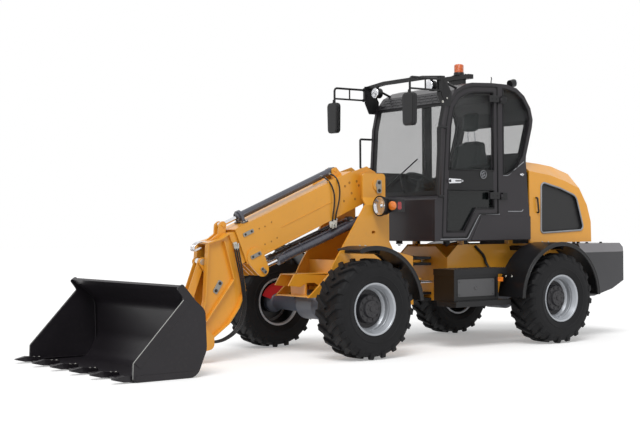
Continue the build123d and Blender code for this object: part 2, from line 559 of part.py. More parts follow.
write("bucket_teeth", [Pos(0, y, 0) * tooth for y in TEETH_Y])

# ------------------------------------------------------------------ rear frame
def mirrored(rows):
    """Close a half outline of (y, z, radius) with its mirror image."""
    return rows + [(-y, z, r) for y, z, r in reversed(rows)]


IN_Y = SIDE_Y - SIDE_PLATE
CWT_X = -2100.0            # front face of the counterweight
side_rows = [(BULKHEAD_X, 780, 0), (BULKHEAD_X, 1040, 0), (-330, FRAME_Z[1], 0), (CWT_X, FRAME_Z[1], 0),
             (CWT_X, FRAME_Z[0], 0), (-1700, FRAME_Z[0], 0), (-1600, ARCH_Z, 0), (-1250, ARCH_Z, 0),
             (-1150, FRAME_Z[0], 0), (-400, FRAME_Z[0], 0)]
chassis = plate_y(side_rows, IN_Y, SIDE_Y) + plate_y(side_rows, -SIDE_Y, -IN_Y)
bulkhead = plate_x(mirrored([(63, 520, 0), (287, 530, 0), (350, 655, 0), (433, 790, 0), (433, 1036, 0), (255, 1166, 0),
                             (88, 1164, 0)]), BULKHEAD_X - 25, BULKHEAD_X)
STEER_Z = 760.0
for hand in (1, -1):
    bulkhead -= block((-200, -150), (hand * 222, hand * 378), (STEER_Z - 28, STEER_Z + 28))
    eye = plate_x([(hand * 330, 690, 0), (hand * 425, 790, 0), (hand * 452, 712, 20), (hand * 448, 630, 25),
                   (hand * 395, 606, 25), (hand * 345, 640, 0)], BULKHEAD_X - 25, BULKHEAD_X)
    bulkhead = bulkhead + eye - bar((-200, hand * 408, 658), (-150, hand * 408, 658), 17)
chassis += bulkhead
for back, bottom in ((-900, 640), (-1300, FLOOR_Z), (-2080, 640)):
    chassis += block((back, back + 20), (-IN_Y, IN_Y), (bottom, 1160))
chassis += block((-2080, -1300), (-IN_Y, IN_Y), (FLOOR_Z, FLOOR_Z + 15))
for x in (-450, -1200):
    for hand in (1, -1):
        chassis += block((x - 40, x + 40), (hand * 395, hand * SIDE_Y), (FRAME_Z[1], CAB_Z))
write("rear_chassis", chassis)

# clevis plates, steering pins and the feet of the steering cylinders
plates = []
for low, high in HINGE_LEVELS:
    stack = None
    for z0 in (low - GAP - 30, high + GAP):
        rows = [(BULKHEAD_X, -170, 0), (BULKHEAD_X, 170, 0), (0, 95, 80), (95, 95, 94), (95, -95, 94), (0, -95, 80)]
        plate = plate_z(rows, z0, z0 + 30)
        stack = plate if stack is None else stack + plate
    plates.append(stack + bar((0, 0, low - GAP - 42), (0, 0, high + GAP + 42), STEER_R))
STEER_FOOT = Vector(-700, 300)
STEER_EYE = Vector(150, 300)
STEER_PIN = 18.0
for hand in (1, -1):
    foot = None
    for z0 in (STEER_Z - 60, STEER_Z + 42):
        rows = [(STEER_FOOT.X - 70, hand * IN_Y, 0), (STEER_FOOT.X + 70, hand * IN_Y, 0),
                (STEER_FOOT.X + 38, hand * (STEER_FOOT.Y - 38), 37), (STEER_FOOT.X - 38, hand * (STEER_FOOT.Y - 38), 37)]
        plate = plate_z(rows, z0, z0 + 18)
        foot = plate if foot is None else foot + plate
    at = (STEER_FOOT.X, hand * STEER_FOOT.Y)
    plates.append(foot + bar((*at, STEER_Z - 66), (*at, STEER_Z + 66), STEER_PIN))
write("steering_clevis", plates)

# lugs of the steering cylinders on the front frame
lugs = []
for hand in (1, -1):
    for z0 in (STEER_Z - 46, STEER_Z + 28):
        rows = [(250, hand * 210, 0), (250, hand * 300, 0), (250, hand * 325, 0),
                (STEER_EYE.X - 38, hand * (STEER_EYE.Y + 38), 37), (STEER_EYE.X - 38, hand * (STEER_EYE.Y - 38), 37)]
        lugs.append(plate_z(rows, z0, z0 + 18))
write("hinge_tongues", tongues + lugs)


def steer_barrel(hand):
    """Steering cylinder barrel with a vertical foot eye."""
    x0, y = STEER_FOOT.X, hand * STEER_FOOT.Y
    gland = x0 + 490
    body = bar((x0 + 18, y, STEER_Z), (gland, y, STEER_Z), 34) - bar((x0 + 62, y, STEER_Z), (gland, y, STEER_Z), 18 + RUN)
    body += bar((gland - 50, y, STEER_Z), (gland, y, STEER_Z), 38) - bar((gland - 50, y, STEER_Z),
                                                                        (gland, y, STEER_Z), 18 + RUN)
    body += bar((x0, y, STEER_Z - 36), (x0, y, STEER_Z + 36), 32)
    return body - bar((x0, y, STEER_Z - 36), (x0, y, STEER_Z + 36), STEER_PIN + RUN)


def steer_rod(hand):
    """Steering cylinder rod with a vertical eye."""
    x0, y = STEER_EYE.X, hand * STEER_EYE.Y
    return bar((x0 - 590, y, STEER_Z), (x0, y, STEER_Z), 18) + bar((x0, y, STEER_Z - 20), (x0, y, STEER_Z + 20), 30)


for name, hand in (("left", 1), ("right", -1)):
    write(f"steer_barrel_{name}", steer_barrel(hand))
    write(f"steer_rod_{name}", steer_rod(hand))

# counterweight with its hitch recess
CWT_Y = 800.0
profile = [(TAIL_X, 1067, 0), (TAIL_X, 728, 0), (-2659, 599, 0), (-2323, 520, 0), (CWT_X, 520, 0), (CWT_X, 1175, 0),
           (-2875, 1175, 0)]
front = mirrored([(CWT_Y, 500, 0), (CWT_Y, 1065, 0), (740, 1175, 0)])
plan = [(CWT_X, -CWT_Y, 0), (-2875, -CWT_Y, 0), (TAIL_X, -740, 0), (TAIL_X, 740, 0), (-2875, CWT_Y, 0), (CWT_X, CWT_Y, 0)]
weight = plate_y(profile, -CWT_Y, CWT_Y) & plate_x(front, TAIL_X, CWT_X) & plate_z(plan, 500, 1200)
weight -= block((TAIL_X - 1, -2720), (-130, 130), (500, 900))
weight -= block((TAIL_X - 1, -2835), (-45, 45), (890, 1200))
write("counterweight", weight)
HITCH = Vector(-2880, 0)
hitch = [block((-2728, -2720), (-130, 130), (640, 880))]
for z0 in (690, 800):
    rows = [(-2728, -90, 0), (-2728, 90, 0), (HITCH.X - 50, 50, 49), (HITCH.X - 50, -50, 49)]
    hitch.append(plate_z(rows, z0, z0 + 25) - bar((HITCH.X, 0, z0), (HITCH.X, 0, z0 + 25), 16))
write("tow_hitch", hitch[0] + hitch[1] + hitch[2])

# fuel and battery boxes with their steps
STEP_IN = 505.0
step = block((-600, 91), (STEP_IN, 850), (545, 845)) + block((-740, 100), (STEP_IN, 860), (845, 915))
step += block((-757, 109), (577, 900), (485, 545))
step -= block((-570, 50), (838, 851), (580, 815))
for x in (-540, -120):
    step += block((x - 30, x + 30), (SIDE_Y, STEP_IN), (650, 820))
write("side_steps", both(step))

# ------------------------------------------------------------------ cab
cab_points = [(210, CAB_Z), (205, 1715), (112, 1762), (98, 1972), (56, 2586), (-5, 2836), (-126, 2983), (-269, 3054),
              (-392, 3084), (-700, 3098), (-953, 3095), (-1121, 3059), (-1249, 2974), (-1354, 2830), (-1392, 2694),
              (-1378, 2599), (-1322, 2411), (-1274, 2252), (-1268, 2188), (-1291, 1872), (-1327, 1522), (-1331, CAB_Z)]
SIDE_PLANE = Plane(origin=(0, 0, 0), x_dir=(1, 0, 0), z_dir=(0, -1, 0))


def slab_y(face, y0, y1):
    """Flat side-view face made solid from y0 to y1."""
    return Pos(0, y1, 0) * extrude(SIDE_PLANE * face, amount=y1 - y0, dir=(0, -1, 0))


def grown(face, by):
    """Face offset outwards (or inwards), with sharp corners."""
    return offset(face, amount=by, kind=Kind.INTERSECTION)


def inside(points, by):
    """The points moved to the left of their path."""
    rows = strip(points, by)
    return [row[:2] for row in reversed(rows[len(points):])]


CAB_IN = CAB_Y - CAB_T
cab_face = outline([(*p, 0) for p in cab_points])
inset = grown(cab_face, -50)
door_limit = outline([(84, 1275, 0), (50, 1972, 0), (50, 3200, 0), (-790, 3200, 0), (-790, 1556, 0), (-480, 1552, 0),
                      (-280, 1278, 0)])
quarter_limit = outline([(-890, 3200, 0), (-1500, 3200, 0), (-1500, 2400, 0), (-1268, 2400, 0), (-1215, 2240, 0),
                         (-1100, 2085, 0), (-960, 2016, 0), (-890, 2012, 0)])
door_face = inset & door_limit
quarter = inset & quarter_limit
plate = slab_y(cab_face - quarter, CAB_IN, CAB_Y)
write("cab_side_left", plate - slab_y(grown(door_face, 8), CAB_IN - 1, CAB_Y + 1))
window = grown(door_face, -20)
band = outline([(200, 1830, 0), (-900, 1830, 0), (-900, 2060, 0), (200, 2060, 0)])
write("cab_side_right", mirror(plate - slab_y(window - band, CAB_IN - 1, CAB_Y + 1), about=Plane.XZ))
shell = plate_y(strip(cab_points[5:15], CAB_T), -CAB_IN, CAB_IN)
write("cab_roof", shell)
rear = plate_y(strip(cab_points[14:], 30), -CAB_IN, CAB_IN) - shell
rear -= block((-1600, -1200), (-540, 540), (2290, 2640))
lower = plate_y(strip(cab_points[:3], 25), -CAB_IN, CAB_IN)
floor = block((-1280, 184), (-CAB_IN, CAB_IN), (CAB_Z, CAB_Z + 25)) - lower - rear
write("cab_panels", rear + lower + floor)

screen = plate_y(strip(inside(cab_points[2:6], 12), GLASS_T), -CAB_IN, CAB_IN) - lower - shell
back = plate_y(strip(inside(cab_points[13:19], 12), GLASS_T), -540, 540) & block((-1600, -1200), (-540, 540),
                                                                                (2290, 2640))
panes = [screen, back]
for y0 in (CAB_IN - GLASS_T, -CAB_IN):
    panes.append(slab_y(grown(quarter, 7), y0, y0 + GLASS_T))
panes.append(slab_y(grown(window, 7) - band, -CAB_IN, -CAB_IN + GLASS_T))
write("cab_glass", panes)

# door
DOOR_Y = (CAB_Y - 2 - DOOR_T, CAB_Y - 2)
DOOR_AXIS = Vector(-830, 685)
hinges_z = (1763.0, 2910.0)
door_window = grown(door_face, -65)
door = slab_y(door_face - (door_window - band), *DOOR_Y)
knuckles = None
for z in hinges_z:
    door += block((-785, -745), (DOOR_Y[1], 675), (z - 15, z + 15)) + block((DOOR_AXIS.X, -745), (665, 675),
                                                                          (z - 15, z + 15))
    door += block((-790, -650), (DOOR_Y[1], 686), (z - 36, z + 36))
    door += bar((DOOR_AXIS.X, DOOR_AXIS.Y, z - 15), (DOOR_AXIS.X, DOOR_AXIS.Y, z + 15), 16)
    door -= bar((DOOR_AXIS.X, DOOR_AXIS.Y, z - 15), (DOOR_AXIS.X, DOOR_AXIS.Y, z + 15), 8 + RUN)
    post = block((-875, DOOR_AXIS.X), (CAB_Y, 675), (z - 45, z - 21)) + block((-930, -853), (CAB_Y, 686), (z - 45, z + 36))
    post += bar((DOOR_AXIS.X, DOOR_AXIS.Y, z - 45), (DOOR_AXIS.X, DOOR_AXIS.Y, z - 21), 16)
    post += bar((DOOR_AXIS.X, DOOR_AXIS.Y, z - 45), (DOOR_AXIS.X, DOOR_AXIS.Y, z + 20), 8)
    knuckles = [post] if knuckles is None else knuckles + [post]
door += swept_pipe([(-30, DOOR_Y[1], 1930), (-30, 700, 1930), (-190, 700, 1930), (-190, DOOR_Y[1], 1930)], 9, 15)
write("door", door)
write("door_glass", slab_y(grown(door_window, 7) - band, DOOR_Y[0] - GLASS_T, DOOR_Y[0]))

# inside the cab
seat = block((-1080, -560), (-230, 230), (CAB_Z + 25, 1850)) + block((-1060, -520), (-260, 260), (1850, 2000))
seat += plate_y([(-1050, 1990, 0), (-900, 1990, 0), (-850, 2060, 40), (-950, 2500, 60), (-1060, 2500, 40),
                 (-1100, 2200, 60)], -240, 240)
seat += plate_y([(-1020, 2560, 20), (-930, 2560, 20), (-950, 2819, 30), (-1030, 2819, 30)], -130, 130)
for y in (-60, 60):
    seat += bar((-1000, y, 2480), (-985, y, 2580), 9)
console = plate_y([(150, CAB_Z + 25, 0), (150, 1600, 40), (60, 1740, 40), (-60, 1700, 30), (40, CAB_Z + 25, 0)],
                  -160, 160)
console = console + bar((-20, 0, 1690), (-150, 0, 1930), 30)
wheel_plane = Plane(origin=(-160, 0, 1950), z_dir=(-130, 0, 240))
ring = wheel_plane * Torus(185, 16)
spokes = wheel_plane * (Box(355, 26, 12) + Box(26, 355, 12) + Pos(0, 0, -10) * Cylinder(40, 50))
write("operator_station", seat, console + ring + spokes)

# ------------------------------------------------------------------ hood and engine
HOOD_PIN = Vector(-2490, 1225)
top_points = [(HOOD_X, 2200), (-1700, 2172), (-1932, 2143), (-2235, 2055), (-2380, 1780), (-2452, 1451), (-2468, HOOD_Z)]
side_points = [(HOOD_X, 2069), (-1728, 2021), (-1957, 1961), (-2235, 1869), (-2374, 1661), (-2445, 1451), (-2453, HOOD_Z)]


def hood_solid(top, flank, front, base, half):
    """Solid hood: a straight middle and a sloping shoulder on each side."""
    sections = []
    for points, y in ((top, HOOD_SHOULDER), (flank, half)):
        rows = [(*p, 0) for p in points] + [(front, base, 0)]
        sections.append(Pos(0, y, 0) * (SIDE_PLANE * outline(rows)))
    shoulder = loft(sections, ruled=True)
    middle = plate_y([(*p, 0) for p in top] + [(front, base, 0)], -HOOD_SHOULDER, HOOD_SHOULDER)
    return middle + shoulder + mirror(shoulder, about=Plane.XZ)


def opened(points):
    """Inner surface of the hood: offset by its wall and run out of its open front and base."""
    rows = inside(points, HOOD_T)
    return [(HOOD_X + 50, rows[0][1])] + rows[1:-1] + [(rows[-1][0], HOOD_Z - 50)]


hood = hood_solid(top_points, side_points, HOOD_X, HOOD_Z, HOOD_Y)
hood -= hood_solid(opened(top_points), opened(side_points), HOOD_X + 50, HOOD_Z - 50, HOOD_Y - HOOD_T)
vent = outline([(-1548, 1942, 55), (-1888, 1865, 200), (-2172, 1772, 140), (-2311, 1345, 55), (-1541, 1314, 40)])
hood -= [slab_y(vent, HOOD_Y - HOOD_T - 1, HOOD_Y + 1), slab_y(vent, -HOOD_Y - 1, HOOD_T - HOOD_Y + 1)]
brackets = []
for hand in (1, -1):
    hood += block((HOOD_PIN.X, -2460), (hand * 334, hand * 366), (1215, 1235)) + pin_y(HOOD_PIN, 16, *sorted(
        (hand * 334, hand * 366)))
    hood -= pin_y(HOOD_PIN, 8 + RUN, *sorted((hand * 330, hand * 370)))
    bracket = pin_y(HOOD_PIN, 8, *sorted((hand * 306, hand * 394)))
    for y0, y1 in ((300, 328), (372, 400)):
        bracket += block((HOOD_PIN.X - 15, HOOD_PIN.X + 15), (hand * y0, hand * y1), (1175, HOOD_PIN.Y + 12))
    brackets.append(bracket)
write("hood", hood)
write("fixed_hinges", knuckles + brackets)
grille_y = HOOD_Y - HOOD_T
trim = slab_y(grown(vent, -0.5) - grown(vent, -14), grille_y, HOOD_Y + 6)
pull = swept_pipe([(-1457, HOOD_Y, 1744), (-1457, HOOD_Y + 30, 1744), (-1478, HOOD_Y + 30, 1564), (-1478, HOOD_Y, 1564)],
                  10, 14)
write("hood_grilles", both(slab_y(grown(vent, 9), grille_y - 10, grille_y) + trim), both(pull))
write("engine", block((-2050, -1400), (-290, 290), (FLOOR_Z + 15, 1650)))

# ------------------------------------------------------------------ roof gear, mirrors and handles
MIRROR_Y = 700.0
gear = plate_x(mirrored([(360, 3118, 0), (690, 3092, 0), (690, 3130, 0), (360, 3162, 0)]), 76, 118)
for hand in (1, -1):
    gear += plate_y([(-45, 2790, 0), (95, 2790, 20), (160, 2920, 20), (165, 3125, 0), (50, 3135, 0), (-60, 2940, 0)],
                    *sorted((hand * CAB_Y, hand * (CAB_Y + 10))))
    gear += bar((60, hand * 495, 3034), (128, hand * 495, 3034), 62)
    gear += block((85, 105), (hand * 480, hand * 510), (3080, 3120))
    gear += bar((93, hand * 600, 3112), (-200, hand * 600, 3010), 14)
lamps = []
for hand in (1, -1):
    lamps.append(bar((-1080, hand * 585, 3114), (-1150, hand * 585, 3132), 48)
                 + bar((-1112, hand * 585, 3030), (-1112, hand * 585, 3095), 14) - shell)
beacon_at = (-700.0, 100.0)
stand = block((-742, -658), (-110, 310), (3185, 3239)) + block((-722, -678), (-60, 200), (3080, 3190))
stand += bar((*beacon_at, 3239), (*beacon_at, 3275), 62)
write("roof_gear", gear - shell, stand - shell, lamps)
write("beacon", bar((*beacon_at, 3275), (*beacon_at, 3377), 58))
mirrors = []
for hand in (1, -1):
    y = hand * MIRROR_Y
    arm = swept_pipe([(136, y, 3087), (600, y, 3087), (600, y, 2870)], 13, 40)
    arm += bar((136, y, 2959), (600, y, 2959), 11) + bar((370, y, 2959), (370, y, 3087), 9)
    arm += block((122, 150), (hand * (CAB_Y + 10), hand * (MIRROR_Y + 12)), (2945, 3112))
    head = plate_x([(hand * 612, 2540, 50), (hand * 796, 2540, 50), (hand * 806, 2905, 50), (hand * 604, 2905, 50)], 582, 634)
    mirrors.append(arm + head)
left = swept_pipe([(100, 660, 1750), (100, 700, 1750), (185, 700, 1750), (185, 700, 2540), (38, 700, 2540),
                   (38, 660, 2540)], 13, 18)
right = swept_pipe([(65, -660, 2120), (65, -700, 2120), (210, -700, 2120), (210, -700, 2480), (42, -700, 2480),
                    (42, -660, 2480)], 13, 18)
write("mirrors", mirrors + [left, right])
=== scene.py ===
"""Looks of the compact telescopic wheel loader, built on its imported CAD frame."""
import math

import bmesh
import bpy
from mathutils import Matrix, Vector

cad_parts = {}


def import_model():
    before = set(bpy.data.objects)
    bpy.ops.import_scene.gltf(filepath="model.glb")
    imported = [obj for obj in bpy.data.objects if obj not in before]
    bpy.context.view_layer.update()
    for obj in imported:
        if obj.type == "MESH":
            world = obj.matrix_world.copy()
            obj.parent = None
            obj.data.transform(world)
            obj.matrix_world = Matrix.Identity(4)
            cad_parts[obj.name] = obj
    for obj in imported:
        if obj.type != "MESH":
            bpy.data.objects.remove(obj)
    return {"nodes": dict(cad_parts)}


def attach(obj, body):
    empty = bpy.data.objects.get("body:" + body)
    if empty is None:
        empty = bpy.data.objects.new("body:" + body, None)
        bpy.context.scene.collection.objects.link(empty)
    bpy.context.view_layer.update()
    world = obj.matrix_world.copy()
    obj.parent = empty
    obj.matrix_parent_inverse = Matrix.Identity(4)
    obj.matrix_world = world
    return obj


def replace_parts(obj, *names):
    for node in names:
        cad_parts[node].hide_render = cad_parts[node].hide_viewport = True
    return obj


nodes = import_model()["nodes"]
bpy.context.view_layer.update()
scene = bpy.context.scene
ORIGIN_X = 0.7915  # metres from the articulation axis forward to the stored frame's origin
AXLE_X, TRACK_Y, TYRE_R = 1425.0, 900.0, 537.5
HANDS = (1, -1)  # left, right
SIDES = (("left", 1), ("right", -1))
REAR, FRONT, BOOM, HEAD = "rear_frame", "front_frame", "outer_boom", "inner_boom"
UP, LEFT = (0, 0, 1), (0, 1, 0)


def at(x, y, z):
    """Point in the stored frame, in metres, from millimetres about the articulation axis."""
    return Vector((x / 1000 - ORIGIN_X, y / 1000, z / 1000))


def back(p):
    """The reverse of at()."""
    return Vector(((p[0] + ORIGIN_X) * 1000, p[1] * 1000, p[2] * 1000))


def placed(name, data):
    obj = bpy.data.objects.new(name, data)
    scene.collection.objects.link(obj)
    return obj


# ------ materials
def node(tree, kind, **sockets):
    """New shader node with some of its inputs set; an underscore in a name stands for a space."""
    made = tree.nodes.new("ShaderNode" + kind)
    for socket, value in sockets.items():
        made.inputs[socket.replace("_", " ")].default_value = value
    return made


def noise(tree, scale, detail, rough=0.55, stretch=(1, 1, 1)):
    mapping = node(tree, "Mapping", Scale=stretch)
    tex = node(tree, "TexNoise", Scale=scale, Detail=detail, Roughness=rough)
    tree.links.new(node(tree, "TexCoord").outputs["Object"], mapping.inputs["Vector"])
    tree.links.new(mapping.outputs["Vector"], tex.inputs["Vector"])
    return tex.outputs["Fac"]


def spread(tree, fac, to_min, to_max, from_min=0.0, from_max=1.0):
    ranged = node(tree, "MapRange", From_Min=from_min, From_Max=from_max, To_Min=to_min, To_Max=to_max)
    tree.links.new(fac, ranged.inputs["Value"])
    return ranged.outputs["Result"]


def surface(name, colour, stops, wear, rough, bumps=(), edge=0.0, dirt=0.0, **sockets):
    """Surface whose colour, roughness and bumps follow noises; edge rounds the shading of its corners."""
    mat = bpy.data.materials.new(name)
    mat.use_nodes = True
    tree = mat.node_tree
    tree.nodes.clear()
    link = tree.links.new
    out, bsdf = node(tree, "OutputMaterial"), node(tree, "BsdfPrincipled", **sockets)
    link(bsdf.outputs["BSDF"], out.inputs["Surface"])
    ramp = node(tree, "ValToRGB")
    elements = ramp.color_ramp.elements
    elements[0].position, elements[1].position = stops[0][0], stops[-1][0]
    for pos, rgb in stops[1:-1]:
        elements.new(pos)
    for element, (pos, rgb) in zip(elements, stops):
        element.color = (*rgb, 1)
    link(noise(tree, *colour), ramp.inputs["Fac"])
    base = ramp.outputs["Color"]
    grain = noise(tree, *wear)
    if dirt:
        mix = node(tree, "Mix")
        mix.data_type = "RGBA"
        link(spread(tree, grain, 0.0, dirt, 0.52, 0.8), mix.inputs["Factor"])
        link(base, mix.inputs["A"])
        mix.inputs["B"].default_value = (0.2, 0.18, 0.15, 1)
        base = mix.outputs["Result"]
    link(base, bsdf.inputs["Base Color"])
    link(spread(tree, grain, *rough), bsdf.inputs["Roughness"])
    normal = None
    if edge:
        bevel = node(tree, "Bevel", Radius=edge)
        bevel.samples = 4
        normal = bevel.outputs["Normal"]
    for marks, strength, distance in bumps:
        bump = node(tree, "Bump", Strength=strength, Distance=distance)
        link(noise(tree, *marks), bump.inputs["Height"])
        if normal is not None:
            link(normal, bump.inputs["Normal"])
        normal = bump.outputs["Normal"]
    if normal is not None:
        link(normal, bsdf.inputs["Normal"])
    return mat


def shades(rgb, low, high):
    """Two colour stops round a colour."""
    return [(pos, tuple(min(c * k, 1.0) for c in rgb)) for pos, k in ((0.3, low), (0.7, high))]


def paint(name, rgb, rough, coat, grain, dirt=0.0, metallic=0.0, gloss=0.5):
    """Sprayed paint: faint orange peel, slow colour drift and a little dust."""
    return surface(name, (1.3, 3.0), shades(rgb, 1 - 1.6 * grain, 1 + grain), (26.0, 6.0, 0.6),
                   (rough - 0.06, rough + 0.08), [((240.0, 2.0), 0.06, 0.002)], 0.004, dirt,
                   Metallic=metallic, Specular_IOR_Level=gloss, Coat_Weight=coat, Coat_Roughness=0.12)


def plastic(name, rgb, rough=0.5, grain=160.0, strength=0.2):
    """Moulded plastic or rubber with a fine grain."""
    return surface(name, (3.0, 4.0), shades(rgb, 0.85, 1.15), (3.0, 4.0), (rough - 0.08, rough + 0.08),
                   [((grain, 3.0), strength, 0.002)], 0.003, Specular_IOR_Level=0.35)


def metal(name, rgb, rough):
    """Bare or plated metal with fine machining marks."""
    marks = (60.0, 3.0, 0.5)
    return surface(name, marks, shades(rgb, 0.9, 1), marks, (rough * 0.75, rough * 1.25),
                   [(marks, 0.04, 0.001)], 0.0015, Metallic=1.0)


def window_glass(name, rgb, alpha):
    """Thin glazing: a tinted film over what lies behind, with a gloss of its own."""
    return surface(name, (4.0, 5.0), shades(rgb, 0.9, 1), (4.0, 5.0), (0.03, 0.07), Alpha=alpha, IOR=1.45)


def lens(name, rgb, rough=0.15):
    """Ribbed lamp lens."""
    ribs = (90.0, 1.0, 0.3, (0.2, 1, 1))
    stops = [(0.35, tuple(c * 0.7 for c in rgb)), (0.65, rgb)]
    return surface(name, ribs, stops, ribs, (rough * 0.6, rough * 1.4), [(ribs, 0.5, 0.004)],
                   Coat_Weight=0.6)


YELLOW = paint("yellow_paint", (0.80, 0.355, 0.028), 0.36, 0.3, 0.05, dirt=0.08)
CAB = paint("cab_paint", (0.019, 0.016, 0.020), 0.34, 0.08, 0.08, gloss=0.35)
BLACK = paint("black_paint", (0.006, 0.006, 0.007), 0.36, 0.04, 0.1, gloss=0.3)
GREY = paint("grey_paint", (0.040, 0.040, 0.044), 0.42, 0.1, 0.08, gloss=0.4)
BUCKET = paint("bucket_paint", (0.012, 0.010, 0.013), 0.38, 0.06, 0.15, dirt=0.04, gloss=0.35)
RIM = paint("rim_paint", (0.42, 0.44, 0.47), 0.34, 0.2, 0.06, metallic=0.35)
HUB = paint("hub_paint", (0.030, 0.029, 0.032), 0.45, 0.05, 0.1, gloss=0.35)
AXLE = paint("axle_paint", (0.10, 0.115, 0.15), 0.36, 0.2, 0.12, dirt=0.2)
RED = paint("red_paint", (0.62, 0.02, 0.03), 0.36, 0.3, 0.08)
BARREL = paint("cylinder_paint", (0.075, 0.078, 0.098), 0.26, 0.3, 0.08)
BOX_GREY = paint("box_grey_paint", (0.065, 0.065, 0.069), 0.42, 0.1, 0.08, dirt=0.08)
# darker yellow for the middles of the boom's dimples: painted shade in their hollows
PLUG_SHADE = paint("plug_painted_shade", (0.40, 0.165, 0.014), 0.5, 0.1, 0.08)
# lighter grey for the counterweight's upward faces: painted light falling from above, with a little dust
WEIGHT_TOP_LIGHT = paint("weight_top_painted_light", (0.17, 0.165, 0.175), 0.38, 0.3, 0.08, dirt=0.15)
ENGINE = paint("engine_paint", (0.05, 0.055, 0.06), 0.5, 0.05, 0.2, dirt=0.3)
CHROME = metal("chrome_plate", (0.80, 0.81, 0.84), 0.12)
STEEL = metal("zinc_steel", (0.55, 0.54, 0.50), 0.34)
WORN = metal("worn_steel", (0.27, 0.27, 0.26), 0.5)
PLATE = metal("keeper_steel", (0.34, 0.33, 0.30), 0.42)
MIRROR = metal("mirror_glass", (0.75, 0.77, 0.8), 0.04)
MOTTLE = (7.0, 6.0, 0.65)
RUBBER = surface("tyre_rubber", MOTTLE, [(0.3, (0.0056, 0.0056, 0.0063)), (0.55, (0.008, 0.008, 0.009)),
                                         (0.8, (0.0128, 0.0128, 0.0144))], MOTTLE, (0.5, 0.74),
                 [(MOTTLE, 0.25, 0.01), ((90.0, 4.0), 0.2, 0.003)], 0.006, Specular_IOR_Level=0.22)
HOSE = plastic("hose_rubber", (0.011, 0.011, 0.012), 0.4, 300.0, 0.15)
PLASTIC = plastic("black_plastic", (0.008, 0.008, 0.009), 0.36)
INTERIOR = plastic("interior_plastic", (0.012, 0.016, 0.016), 0.55)
FABRIC = plastic("seat_fabric", (0.020, 0.030, 0.030), 0.45, 420.0, 0.35)
SEAM = plastic("seat_piping", (0.010, 0.013, 0.013), 0.5, 300.0)
SEAL = plastic("rubber_seal", (0.005, 0.005, 0.006), 0.5, 200.0, 0.1)
TRIM = plastic("grey_trim", (0.30, 0.31, 0.33), 0.45, 200.0, 0.1)
VISOR = plastic("visor_plastic", (0.09, 0.092, 0.095))
MESH = plastic("vent_mesh", (0.014, 0.014, 0.015), 0.38, 300.0, 0.5)
GLASS = window_glass("window_glass", (0.05, 0.055, 0.055), 0.21)
# near-black, nearly opaque glass: painted shade of the cab's dark inside behind the lower panes
SHADE_GLASS = window_glass("glass_painted_shade", (0.008, 0.010, 0.010), 0.85)
LAMP_GLASS = window_glass("lamp_glass", (0.5, 0.5, 0.5), 0.16)
AMBER = lens("amber_lens", (0.95, 0.24, 0.02))
RED_LENS = lens("red_lens", (0.36, 0.008, 0.014))
BEACON = lens("beacon_lens", (0.90, 0.17, 0.025), 0.2)

CAD_LOOKS = {
    YELLOW: "tower_sides front_crossmembers hinge_tongues outer_boom_sides outer_boom_covers coupler hood "
            "inner_boom_sides inner_boom_covers head_webs head_flanges tilt_levers tilt_links rear_chassis",
    CAB: "cab_side_left cab_side_right cab_roof cab_panels door",
    BLACK: "steering_clevis side_steps fixed_hinges",
    GREY: "counterweight",
    BUCKET: "bucket_shell bucket_sides bucket_teeth",
    RIM: "rim_front_left rim_front_right rim_rear_left rim_rear_right",
    AXLE: "front_axle rear_axle",
    BARREL: "extension_barrel tilt_barrel lift_barrels steer_barrel_left steer_barrel_right",
    CHROME: "extension_rod tilt_rod lift_rods steer_rod_left steer_rod_right",
    STEEL: "tower_pins tow_hitch",
    RUBBER: "tyre_front_left tyre_front_right tyre_rear_left tyre_rear_right",
    PLASTIC: "front_fenders rear_fenders roof_gear mirrors front_lamps",
    GLASS: "cab_glass door_glass",
    INTERIOR: "operator_station",
    ENGINE: "engine",
    MESH: "hood_grilles",
    BEACON: "beacon",
}
for look, names in CAD_LOOKS.items():
    for name in names.split():
        nodes[name].data.materials.clear()
        nodes[name].data.materials.append(look)


# ------ mesh helpers, millimetres about the articulation axis
bm = bmesh.new()  # the piece being drawn


def corner(before, p, after, reach, steps):
    """Arc that replaces the corner p, from reach before it to reach after it."""
    start = p + (before - p).normalized() * reach
    end = p + (after - p).normalized() * reach
    shares = [k / steps for k in range(steps + 1)]
    return [start * (1 - t) ** 2 + p * (2 * t * (1 - t)) + end * t ** 2 for t in shares]


def rounded(points, radius):
    """Closed polygon with its corners turned into arcs."""
    points = [Vector(p) for p in points]
    out = []
    for i, p in enumerate(points):
        a, b = points[i - 1], points[(i + 1) % len(points)]
        half = (a - p).angle(b - p) / 2
        reach = min(radius / math.tan(half), (a - p).length * 0.48, (b - p).length * 0.48)
        out += [p] if reach < 0.01 else corner(a, p, b, reach, 4)
    return out


def box(x0, x1, z0, z1, radius):
    """Rounded rectangle."""
    return rounded([(x0, z0), (x1, z0), (x1, z1), (x0, z1)], radius)


def build(name, look, body, bevel=0.0, angle=35, segments=2):
    """Turn what was drawn into an object on its body, shaded smooth by angle, and start the next piece."""
    global bm
    for v in bm.verts:
        v.co = at(*v.co)
    bmesh.ops.recalc_face_normals(bm, faces=bm.faces)
    mesh = bpy.data.meshes.new(name)
    bm.to_mesh(mesh)
    bm.free()
    bm = bmesh.new()
    for mat in (look if isinstance(look, list) else [look]):
        mesh.materials.append(mat)
    mesh.shade_smooth()
    mesh.set_sharp_from_angle(angle=math.radians(angle))
    obj = placed(name, mesh)
    if bevel:
        mod = obj.modifiers.new("edges", "BEVEL")
        mod.width = bevel / 1000
        mod.segments = segments
        mod.limit_method = "ANGLE"
        mod.angle_limit = math.radians(40)
        mod.harden_normals = True
    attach(obj, body)
    return obj


